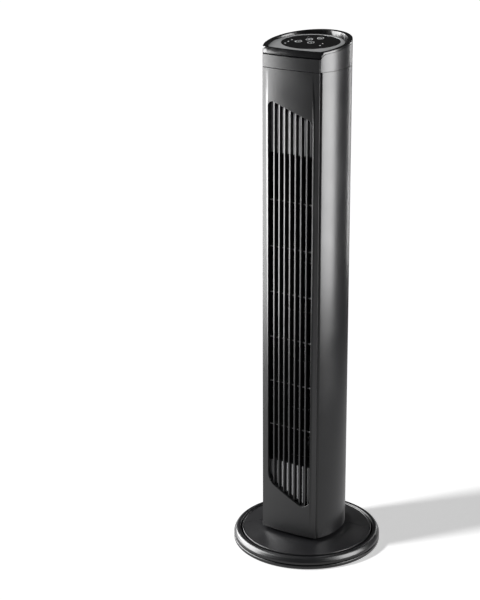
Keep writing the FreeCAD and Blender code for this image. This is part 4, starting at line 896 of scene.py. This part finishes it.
def louvre_tree():
    """Level louvres that follow the oval of the rear wall."""
    tree, given, result = new_group(
        "rear louvres", "GeometryNodeTree",
        [("Count", "NodeSocketInt", 64), *number_inputs(
            "Pitch", "First", "Half span", "Half width", "Half depth", "Centre", "Height", "Wall",
            "Easing", "Lean"), ("Finish", "NodeSocketMaterial", None)],
        [("Geometry", "NodeSocketGeometry")])
    give = given.outputs
    left = node(tree, "ShaderNodeCombineXYZ", {
        "X": reckon(tree, "MULTIPLY", give["Half span"], -1.0)})
    right = node(tree, "ShaderNodeCombineXYZ", {"X": give["Half span"]})
    straight = node(tree, "GeometryNodeCurvePrimitiveLine", {
        "Start": left.outputs[0], "End": right.outputs[0]})
    divided = node(tree, "GeometryNodeResampleCurve", {"Curve": straight.outputs[0], "Count": 18})
    place = node(tree, "ShaderNodeSeparateXYZ", {0: node(tree, "GeometryNodeInputPosition").outputs[0]})
    x = place.outputs["X"]
    share = reckon(tree, "DIVIDE", x, give["Half width"])
    left_over = reckon(tree, "SUBTRACT", 1.0, reckon(tree, "MULTIPLY", share, share))
    y = reckon(tree, "MULTIPLY_ADD", reckon(tree, "SQRT", left_over), give["Half depth"], give["Centre"])
    spot = node(tree, "ShaderNodeCombineXYZ", {"X": x, "Y": y})
    bent = node(tree, "GeometryNodeSetPosition", {
        "Geometry": divided.outputs[0], "Position": spot.outputs[0]})
    upright = node(tree, "GeometryNodeSetCurveNormal", {"Curve": bent.outputs[0]}, mode="Z_UP")
    leaning = node(tree, "GeometryNodeSetCurveTilt", {"Curve": upright.outputs[0], "Tilt": give["Lean"]})
    outline = node(tree, "GeometryNodeCurvePrimitiveQuadrilateral", {
        "Width": give["Wall"], "Height": give["Height"]})
    soft = node(tree, "GeometryNodeFilletCurve", {
        "Curve": outline.outputs[0], "Radius": give["Easing"], "Count": 2, "Limit Radius": True},
        mode="POLY")
    bar = node(tree, "GeometryNodeCurveToMesh", {
        "Curve": leaning.outputs[0], "Profile Curve": soft.outputs[0], "Fill Caps": True})
    begin = node(tree, "ShaderNodeCombineXYZ", {"Z": give["First"]})
    step = node(tree, "ShaderNodeCombineXYZ", {"Z": give["Pitch"]})
    line = node(tree, "GeometryNodeMeshLine", {
        "Count": give["Count"], "Start Location": begin.outputs[0], "Offset": step.outputs[0]})
    placed = node(tree, "GeometryNodeInstanceOnPoints", {
        "Points": line.outputs[0], "Instance": bar.outputs[0]})
    end_tree(tree, placed.outputs[0], give["Finish"], result)
    return tree


def ring_tree():
    """Copies of one small piece, evenly spaced on a circle."""
    tree, given, result = new_group(
        "ring of copies", "GeometryNodeTree",
        [("Piece", "NodeSocketGeometry", None), ("Count", "NodeSocketInt", 6),
         *number_inputs("Circle", "First turn"), ("Finish", "NodeSocketMaterial", None)],
        [("Geometry", "NodeSocketGeometry")])
    give = given.outputs
    circle = node(tree, "GeometryNodeMeshCircle", {
        "Vertices": give["Count"], "Radius": give["Circle"]})
    turn = node(tree, "ShaderNodeCombineXYZ", {"Z": give["First turn"]})
    turned = node(tree, "GeometryNodeTransform", {
        "Geometry": circle.outputs[0], "Rotation": turn.outputs[0]})
    placed = node(tree, "GeometryNodeInstanceOnPoints", {
        "Points": turned.outputs[0], "Instance": give["Piece"]})
    end_tree(tree, placed.outputs[0], give["Finish"], result)
    return tree


def grille_bars():
    slope_low = (WINDOW_BOTTOM[1] - WINDOW_BOTTOM[0]) / (2 * WINDOW_HALF)
    slope_high = (WINDOW_TOP[1] - WINDOW_TOP[0]) / (2 * WINDOW_HALF)
    finish_of = FINISHES["grille_front"]
    slats = grown("grille_slats", slat_tree(), None, {
        "Count": SLATS, "Pitch": SLAT_PITCH, "Width": SLAT_WIDTH,
        "Depth": SLAT_BACK - arc_y(0.0) - SLAT_INSET, "Easing": 0.6 * MM,
        "Front radius": FRONT_RADIUS, "Front centre": FRONT_CENTRE, "Inset": SLAT_INSET,
        "Bottom": sum(WINDOW_BOTTOM) / 2 - BAR_TUCK, "Bottom slope": slope_low,
        "Top": sum(WINDOW_TOP) / 2 + BAR_TUCK, "Top slope": slope_high,
        "Turn": SLAT_LEAN, "Finish": finish_of}, finish_of)
    issue(weighed(slats), "column", "grille_front")
    # The ribs take the same light grey, a painted highlight standing in for their lit tops.
    ribs = grown("grille_ribs", rib_tree(), None, {
        "Count": RIBS, "Pitch": RIB_PITCH, "First": RIB_FIRST,
        "Length": 2 * (WINDOW_HALF + BAR_TUCK), "Height": RIB_HEIGHT,
        "Depth": WINDOW_FRAME_BACK - SLAT_BACK + 1 * MM, "Easing": 0.95 * MM,
        "Middle depth": (WINDOW_FRAME_BACK + SLAT_BACK - 1 * MM) / 2, "Finish": PAINTED_SHEEN_GREY}, PAINTED_SHEEN_GREY)
    issue(weighed(ribs), "column", "grille_front")


def rear_grille():
    """Border, upright ribs and louvres of the rear screen."""
    low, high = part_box("rear_grille")
    finish_of = FINISHES["casing"]
    span = INTAKE_HALF - FIT_GAP
    opening = INTAKE_HALF - INTAKE_MARGIN
    stations = [span, (span + opening) / 2, opening]
    stations += [opening * step / 12 for step in range(11, -1, -1)]
    stations += [-x for x in reversed(stations[:-1])]
    path = [(x, oval_depth(x, INTAKE_INSET)) for x in stations]

    def levels(x, y):
        return [low.z, low.z + INTAKE_MARGIN, high.z - INTAKE_MARGIN, high.z]

    def inside(here, there, row):
        return row == 1 and abs(here[0] + there[0]) / 2 < opening

    sheet = mesh_of(curtain(path, levels, inside), "rear_border_sheet")
    border = formed("rear_screen_border", sheet, finish_of, INTAKE_WALL, 0.4 * MM)
    issue(border, "column", "casing", "rear_grille")
    count = int(round((high.z - low.z - 2 * INTAKE_MARGIN) / INTAKE_PITCH)) + 1
    middle = (low.z + high.z) / 2
    louvres = grown("rear_louvres", louvre_tree(), None, {
        "Count": count - 1, "Pitch": INTAKE_PITCH,
        "First": middle - (count - 2) * INTAKE_PITCH / 2, "Half span": opening + 1 * MM,
        "Half width": OVAL_HALF_WIDTH - INTAKE_INSET - LOUVRE_INSET,
        "Half depth": OVAL_HALF_DEPTH - INTAKE_INSET - LOUVRE_INSET,
        "Centre": OVAL_CENTRE, "Height": INTAKE_PITCH - INTAKE_SLOT, "Wall": LOUVRE_WALL,
        "Easing": 0.5 * MM, "Lean": 0.0, "Finish": finish_of}, finish_of)
    issue(weighed(louvres), "column", "casing")
    bm = bmesh.new()
    for place in (-1, 0, 1):
        x = place * INTAKE_RIB_SPREAD
        outer = oval_depth(x, RIB_INSET)
        left, right = x - INTAKE_RIB / 2, x + INTAKE_RIB / 2
        inner = outer - RIB_DEPTH
        prism(bm, [(left, outer), (right, outer), (right, inner), (left, inner)],
              low.z + 1 * MM, high.z - 1 * MM)
    uprights = formed("rear_screen_ribs", mesh_of(bm, "rear_screen_ribs", True), finish_of)
    issue(uprights, "column", "casing")


# ------------------------------------------------------------------- the cap

def rim_height(y):
    return RIM_FRONT + RIM_SLOPE * (y - CORNER_BACK)


def cap_shell():
    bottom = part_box("cap_shell")[0].z
    back = CORNER_BACK + CAP_CORNER
    up = rim_height(back) - RIM_UNDERSIDE - CAP_CORNER
    plan = [(SHELL_EDGE, arc_y(SHELL_EDGE))]
    for step in range(ROUND_STEPS * 2 + 1):
        turn = math.pi / 2 * step / (ROUND_STEPS * 2)
        y = back - CAP_CORNER * math.cos(turn)
        plan.append((oval_half(y), y))
    stop = math.asin((back - OVAL_CENTRE) / OVAL_HALF_DEPTH)
    plan += [oval_at(stop + (math.pi - 2 * stop) * step / PLAN_STEPS) for step in range(1, PLAN_STEPS)]
    left = [(-x, y) for x, y in reversed(plan[:ROUND_STEPS * 2 + 2])]
    path = plan + left

    def levels(x, y):
        top = rim_height(y) - RIM_UNDERSIDE
        if y < back:
            top = up + math.sqrt(max(0.0, CAP_CORNER ** 2 - (y - back) ** 2))
        return [bottom, bottom + (top - bottom) * 0.5, top]

    sheet = mesh_of(curtain(path, levels), "cap_shell_sheet")
    cap = formed("cap_casing", sheet, FINISHES["casing"], SHELL_WALL, 0.6 * MM, angle=32.0)
    return issue(true_shading(cap), "column", "casing", "cap_shell")


def cap_front():
    low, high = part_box("cap_front")
    stations = [PANEL_EDGE * step / 20 for step in range(-20, 21)]

    def levels(x, y):
        return [low.z, (low.z + high.z) / 2, high.z]

    sheet = mesh_of(curtain(front_path(stations), levels), "cap_front_sheet")
    front = formed("cap_front_plate", sheet, FINISHES["grille_front"], PANEL_WALL)
    return issue(true_shading(front), "column", "grille_front", "cap_front")


def softened(node_name, name, body, slot, ease, finish_of, angle=30.0):
    """Copy of a machined-looking node with its sharp edges eased."""
    bm = bmesh.new()
    bm.from_mesh(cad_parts[node_name].data)
    bmesh.ops.remove_doubles(bm, verts=bm.verts, dist=0.004 * MM)
    flat = math.radians(0.4)
    bmesh.ops.dissolve_limit(
        bm, angle_limit=flat, use_dissolve_boundaries=False, verts=bm.verts, edges=bm.edges)
    item = formed(name, mesh_of(bm, name), finish_of, 0.0, ease, angle, 2)
    return issue(true_shading(item), body, slot, node_name)


def panel_frame(x, y, depth):
    """Place and tilt of something set square into the sloping panel."""
    tilt = math.atan(RIM_SLOPE)
    z = rim_height(y) - depth * math.cos(tilt)
    return Matrix.Translation((x, y + depth * math.sin(tilt), z)) @ Matrix.Rotation(tilt, 4, "X")


def joined(parts):
    """One mesh from several, each part keeping its material number."""
    bm = bmesh.new()
    for part, place, material in parts:
        before = len(bm.faces)
        bm.from_mesh(part)
        bm.faces.ensure_lookup_table()
        fresh = bm.faces[before:]
        corners = {corner for face in fresh for corner in face.verts}
        bmesh.ops.transform(bm, matrix=place, verts=list(corners))
        for face in fresh:
            face.material_index = material
    mesh = bpy.data.meshes.new("joined")
    for face in bm.faces:
        face.smooth = True
    bm.to_mesh(mesh)
    bm.free()
    return mesh


def turned_mesh(name, points, closed=True, steps=64):
    bm = spun(points, closed, steps)
    return mesh_of(bm, name, True)


def mark_bar(length, width, turn, x=0.0, y=0.0, lift=PRINT_LIFT):
    """Thin printed stroke lying on a key or on the panel."""
    bm = bmesh.new()
    along, across = length / 2, width / 2
    prism(bm, [(-along, -across), (along, -across), (along, across), (-along, across)], -lift, lift)
    place = Matrix.Translation((x, y, 0)) @ Matrix.Rotation(turn, 4, "Z")
    bmesh.ops.transform(bm, matrix=place, verts=bm.verts)
    return mesh_of(bm, "stroke")


def printed_hoop(radius, width, lift=PRINT_LIFT):
    return turned_mesh("hoop", [
        (radius - width / 2, -lift, 0), (radius + width / 2, -lift, 0),
        (radius + width / 2, lift, 0), (radius - width / 2, lift, 0)])


KEY_MARKS = {
    "button_power": [(3.2 * MM, 0.9 * MM, math.pi / 2, 0.0, 0.7 * MM)],
    "button_speed": [(3.4 * MM, 0.8 * MM, 0.0, 0.0, offset * MM) for offset in (-1.2, 0.0, 1.2)],
    "button_timer": [(2.4 * MM, 0.8 * MM, math.pi / 2, 0.0, 0.8 * MM),
                     (2.2 * MM, 0.8 * MM, 0.0, 0.9 * MM, -0.2 * MM)],
    "button_swing": [(3.8 * MM, 0.9 * MM, 0.0, 0.0, 0.0),
                     (2.0 * MM, 0.8 * MM, 0.9, 1.4 * MM, 0.6 * MM),
                     (2.0 * MM, 0.8 * MM, 0.9, -1.4 * MM, -0.6 * MM)],
}
# Places across and along the panel in millimetres.
PANEL_MARKS = ((11.7, 38.3), (-18.9, 25.8))


def key_place(node_name):
    low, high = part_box(node_name)
    return (low.x + high.x) / 2, (low.y + high.y) / 2


def push_keys():
    """Four round keys: dished cap, captive flange and stem, with a pale printed ring."""
    flange = BUTTON_RADIUS + KEY_FLANGE
    for name, strokes in KEY_MARKS.items():
        x, y = key_place(name)
        square = panel_frame(x, y - KEY_SHIFT, LENS_DEPTH - BUTTON_PROUD)
        body = turned_mesh(name, [
            (0.0, -KEY_DISH, 0), (BUTTON_RADIUS * 0.62, -KEY_DISH * 0.6, 3 * MM),
            (BUTTON_RADIUS * 0.9, 0.0, 0.5 * MM), (BUTTON_RADIUS, -0.05 * MM, 0.35 * MM),
            (BUTTON_RADIUS, -KEY_THICK, 0), (flange, -KEY_THICK, 0.2 * MM),
            (flange, -KEY_FLANGE_BOTTOM, 0.2 * MM), (KEY_STEM, -KEY_FLANGE_BOTTOM, 0.2 * MM),
            (KEY_STEM, -KEY_STEM_END, 0.2 * MM), (0.0, -KEY_STEM_END, 0)], False)
        ring = printed_hoop(BUTTON_RADIUS * 0.88, 1.0 * MM)
        parts = [(body, Matrix(), 0), (ring, Matrix.Translation((0, 0, -PRINT_SINK)), 1)]
        parts += [
            (mark_bar(*stroke), Matrix.Translation((0, 0, PRINT_SINK - KEY_DISH)), 1)
            for stroke in strokes
        ]
        mesh = joined([(part, square @ place, number) for part, place, number in parts])
        key = made_object(name + "_key", mesh, FINISHES["button_black"], PRINT)
        issue(key, name, "button_black", name)


def lamp_row():
    """Domed ends of the light guides, and small strokes printed beside the keys."""
    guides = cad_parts["indicator_lights"].data
    seen = bmesh.new()
    seen.from_mesh(guides)
    bmesh.ops.remove_doubles(seen, verts=seen.verts, dist=0.004 * MM)
    places = []
    left = set(seen.verts)
    while left:
        island = [left.pop()]
        for vertex in island:
            for edge in vertex.link_edges:
                other = edge.other_vert(vertex)
                if other in left:
                    left.discard(other)
                    island.append(other)
        top = max(vertex.co.z for vertex in island)
        upper = [vertex.co for vertex in island if vertex.co.z > top - 1 * MM]
        places.append(sum(upper, Vector()) / len(upper))
    seen.free()
    depth = BOARD_DEPTH - LENS_DEPTH
    guide = turned_mesh("guide", [
        (0.0, 0.12 * MM, 0), (LIGHT_RADIUS * 0.7, 0.1 * MM, 1 * MM),
        (LIGHT_RADIUS, -0.1 * MM, 0.2 * MM),
        (LIGHT_RADIUS, -depth, 0), (0.0, -depth, 0)], False, 32)
    places.sort(key=lambda place: (place.x, place.y))
    parts = [(guide, panel_frame(place.x, place.y, LENS_DEPTH), 0) for place in places]
    lamps = made_object("lamp_guides", joined(parts), FINISHES["light_pipe"])
    issue(lamps, "column", "light_pipe", "indicator_lights")
    strokes = [
        (mark_bar(3.0 * MM, 0.6 * MM, 0.0), panel_frame(x * MM, y * MM, LENS_DEPTH), 0)
        for x, y in PANEL_MARKS
    ]
    marks = made_object("panel_marks", joined(strokes), PRINT)
    issue(marks, "column", "light_pipe")


# ------------------------------------------------------------------ the base

def in_metres(profile):
    """Profile points given in millimetres."""
    return [tuple(value * MM for value in point) for point in profile]


def base_parts():
    casing = FINISHES["casing"]
    pan = made_object("base_underpan", mesh_of(spun(in_metres(PAN_PROFILE)), "pan", True), casing)
    issue(weighed(pan), "base", "casing", "base_pan")
    rim = made_object("base_ring", mesh_of(spun(in_metres(RING_PROFILE)), "ring", True), casing)
    issue(weighed(rim), "base", "casing", "base_rim")
    for name, side, node_name in (
        ("base_cover_front", -1, "base_front_half"), ("base_cover_rear", 1, "base_rear_half")
    ):
        bm = spun(in_metres(COVER_PROFILE))
        across = Vector((-math.sin(SEAM_TURN), math.cos(SEAM_TURN), 0.0)) * side
        kept = bmesh.ops.bisect_plane(
            bm, geom=[*bm.verts, *bm.edges, *bm.faces], plane_co=across * SEAM_GAP / 2,
            plane_no=across, clear_inner=True)
        seam = [item for item in kept["geom_cut"] if isinstance(item, bmesh.types.BMEdge)]
        bmesh.ops.holes_fill(bm, edges=seam, sides=0)
        half = formed(name, mesh_of(bm, name, True), casing, 0.0, 0.2 * MM, 50.0, 2)
        issue(half, "base", "casing", node_name)
    turret = made_object("pivot_stand", mesh_of(spun(in_metres(STAND_PROFILE)), "turret", True),
                         FINISHES["inner_plastic"])
    issue(weighed(turret), "base", "inner_plastic", "pivot_turret")
    copies = ring_tree()
    foot = turned_mesh("foot", in_metres(FOOT_PROFILE), False, 48)
    feet = grown("foot_pads", copies, foot, {
        "Count": FEET, "Circle": FOOT_CIRCLE, "First turn": 0.0, "Finish": FINISHES["rubber"]},
        FINISHES["rubber"])
    issue(weighed(feet), "base", "rubber", "rubber_feet")
    screws = grown("base_screw_set", copies, screw_mesh(BASE_SCREW_START, BASE_SCREW_LENGTH), {
        "Count": FEET, "Circle": SCREW_CIRCLE, "First turn": math.radians(30.0),
        "Finish": FINISHES["zinc_steel"]}, FINISHES["zinc_steel"])
    issue(screws, "base", "zinc_steel", "base_screws")


def screw_mesh(start, length):
    """Pan-head screw pointing up, its cross recess at the bottom."""
    under = start + SCREW_HEAD_HEIGHT
    tip = under + length
    body = turned_mesh("screw", [
        (0.0, start, 0), (SCREW_HEAD * 0.55, start, 1.0 * MM),
        (SCREW_HEAD, start + SCREW_HEAD_HEIGHT * 0.55, 0.5 * MM), (SCREW_HEAD, under, 0.1 * MM),
        (SCREW_SHANK, under, 0), (SCREW_SHANK, tip, 0.4 * MM), (0.0, tip, 0)], False, 40)
    item = made_object("screw_blank", body, FINISHES["zinc_steel"])
    cross = joined([
        (mark_bar(3.6 * MM, 0.8 * MM, turn, 0.0, 0.0, 0.7 * MM), Matrix.Translation((0, 0, start)), 0)
        for turn in (0.0, math.pi / 2)])
    tool = made_object("cross_tool", cross, FINISHES["zinc_steel"])
    recess = item.modifiers.new("recess", "BOOLEAN")
    recess.operation = "DIFFERENCE"
    recess.solver = "EXACT"
    recess.use_self = True
    recess.object = tool
    settled(item)
    mesh = item.data
    bpy.data.objects.remove(item)
    bpy.data.objects.remove(tool)
    return mesh


def rear_screw_set():
    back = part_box("rear_screws")[1].y
    parts = [
        (screw_mesh(0.0, REAR_SCREW_LENGTH),
         Matrix.Translation((x, back, z)) @ Matrix.Rotation(math.pi / 2, 4, "X"), 0)
        for x, z in well_places()
    ]
    screws = made_object("rear_screw_set", joined(parts), FINISHES["zinc_steel"])
    issue(screws, "column", "zinc_steel", "rear_screws")


# ------------------------------------------------------------------- studio

CAMERA_PLACE = (1.3525, -2.3574, 1.3877)
CAMERA_TURN = math.radians(31.267)
CAMERA_DROP = math.radians(18.95)
CAMERA_LENS = 99.35
CAMERA_SHIFT = -0.0493
WHITE = (1.0, 1.0, 1.0, 1.0)
SKY_HORIZON, SKY_OVERHEAD = 0.07, 0.02
BACKDROP = 1.05
FLOOR_GLOW = 0.565
# The floor as seen in the fan's gloss: painted dark, with a painted pool of light near the fan that fades
# with distance.
FLOOR_PAINTED_DARK_IN_GLOSS = (0.02, 0.02, 0.02, 1.0)
PAINTED_POOL_PLACE = (-0.35, -0.5, 0.0)
PAINTED_POOL_NEAR, PAINTED_POOL_FAR = 0.3, 1.7
SUN_COURSE = (0.635, 0.7725, -0.75)
SUN_POWER = 2.7
# Name, turn in degrees, distance, width, lower and upper edge, and power.
SOFT_LIGHTS = (
    ("left wall", -76.0, 0.9, 1.1, 0.10, 1.2, 68.0),
    ("right wall", 99.0, 0.9, 0.60, 0.20, 1.2, 26.0),
    ("rear strip", 177.0, 1.4, 0.16, 0.1, 1.2, 3.0),
)


def camera():
    lens = bpy.data.cameras.new("camera")
    lens.sensor_width = 36.0
    lens.lens = CAMERA_LENS
    lens.shift_x = CAMERA_SHIFT
    lens.clip_start = 0.05
    view = bpy.data.objects.new("camera", lens)
    view.location = CAMERA_PLACE
    view.rotation_euler = (math.pi / 2 - CAMERA_DROP, 0.0, CAMERA_TURN)
    bpy.context.scene.collection.objects.link(view)
    bpy.context.scene.camera = view


def soft_light(name, floor, turn, distance, width, low, high, power):
    """Upright rectangular light facing the fan, kept off the floor.

    A turn of zero is in front, a quarter turn at the right.
    """
    lamp = bpy.data.lights.new(name, "AREA")
    lamp.shape = "RECTANGLE"
    lamp.size, lamp.size_y = width, high - low
    lamp.energy = power
    item = bpy.data.objects.new(name, lamp)
    angle = math.radians(turn)
    item.location = (distance * math.sin(angle), -distance * math.cos(angle), (low + high) / 2)
    item.rotation_euler = (math.pi / 2, 0.0, angle)
    item.visible_camera = False
    bpy.context.scene.collection.objects.link(item)
    unlit = bpy.data.collections.new(name + " leaves dark")
    unlit.objects.link(floor)
    unlit.collection_objects[0].light_linking.link_state = "EXCLUDE"
    item.light_linking.receiver_collection = unlit


def sky(tree):
    """Pale near the horizon and dark overhead, as inside a studio tent with an open top."""
    place = node(tree, "ShaderNodeTexCoord").outputs["Generated"]
    height = node(tree, "ShaderNodeSeparateXYZ", {0: place}).outputs["Z"]
    shade = node(tree, "ShaderNodeMapRange", {
        "Value": height, "From Min": 0.05, "From Max": 0.6,
        "To Min": SKY_HORIZON, "To Max": SKY_OVERHEAD},
        interpolation_type="SMOOTHSTEP")
    return node(tree, "ShaderNodeBackground", {"Color": WHITE, "Strength": shade.outputs[0]})


def studio():
    floor_bm = bmesh.new()
    bmesh.ops.create_grid(floor_bm, x_segments=8, y_segments=8, size=30.0)
    floor_paint = finish("pale floor", (0.9, 0.9, 0.9), (0.9, 1.0), pitch=200.0, depth=0.01, wear=0.0,
                         shade=0.02, Specular_IOR_Level=0.0, Emission_Color=WHITE)
    paint = floor_paint.node_tree
    surface = paint.nodes["Principled BSDF"]
    # The floor glows evenly white to the camera. In reflections it is painted: dark, with a painted pool
    # of light round a spot near the fan that fades with distance.
    ray = node(paint, "ShaderNodeLightPath")
    spot = node(paint, "ShaderNodeTexCoord").outputs["Object"]
    away = node(paint, "ShaderNodeVectorMath", {0: spot, 1: PAINTED_POOL_PLACE},
                operation="DISTANCE").outputs["Value"]
    painted_pool = node(paint, "ShaderNodeMapRange", {
        "Value": away, "From Min": PAINTED_POOL_NEAR, "From Max": PAINTED_POOL_FAR,
        "To Min": 1.0, "To Max": 0.05})
    painted_reflection = reckon(paint, "MULTIPLY", ray.outputs["Is Glossy Ray"], painted_pool.outputs[0])
    paint.links.new(reckon(paint, "MULTIPLY_ADD", ray.outputs["Is Camera Ray"], FLOOR_GLOW, painted_reflection),
                    surface.inputs["Emission Strength"])
    plain = surface.inputs["Base Color"].links[0].from_socket
    paint.links.new(blend_colour(paint, ray.outputs["Is Glossy Ray"], plain, FLOOR_PAINTED_DARK_IN_GLOSS),
                    surface.inputs["Base Color"])
    floor = made_object("floor", mesh_of(floor_bm, "floor"), floor_paint)
    world = bpy.data.worlds.new("studio")
    bpy.context.scene.world = world
    world.use_nodes = True
    tree = world.node_tree
    tree.nodes.clear()
    seen = node(tree, "ShaderNodeBackground", {"Color": WHITE, "Strength": BACKDROP})
    ray = node(tree, "ShaderNodeLightPath")
    chosen = node(tree, "ShaderNodeMixShader", {
        0: ray.outputs["Is Camera Ray"], 1: sky(tree).outputs[0], 2: seen.outputs[0]})
    ending = node(tree, "ShaderNodeOutputWorld", {"Surface": chosen.outputs[0]})
    ending.is_active_output = True
    sun = bpy.data.lights.new("window light", "SUN")
    sun.energy = SUN_POWER
    sun.angle = math.radians(7.0)
    sun_item = bpy.data.objects.new("window light", sun)
    sun_item.rotation_euler = Vector(SUN_COURSE).to_track_quat("-Z", "Y").to_euler()
    sun_item.visible_glossy = False
    bpy.context.scene.collection.objects.link(sun_item)
    for name, *settings in SOFT_LIGHTS:
        soft_light(name, floor, *settings)
    bpy.context.scene.view_settings.view_transform = "Standard"


# -------------------------------------------------------------------- making

camera()
dress_frame()
front_panel()
window_rim()
grille_bars()
rear_shell()
rear_grille()
cap_shell()
cap_front()
softened("control_housing", "cap_rim", "column", "gloss_black", 0.35 * MM, FINISHES["gloss_black"])
softened("control_bezel", "control_surround", "column", "bezel_grey", 0.35 * MM, FINISHES["bezel_grey"])
softened("panel_lens", "control_window", "column", "panel_glass", 0.2 * MM, FINISHES["panel_glass"])
softened("cord_gland", "lead_gland", "base", "rubber", 0.3 * MM, FINISHES["rubber"])
push_keys()
lamp_row()
base_parts()
rear_screw_set()
studio()
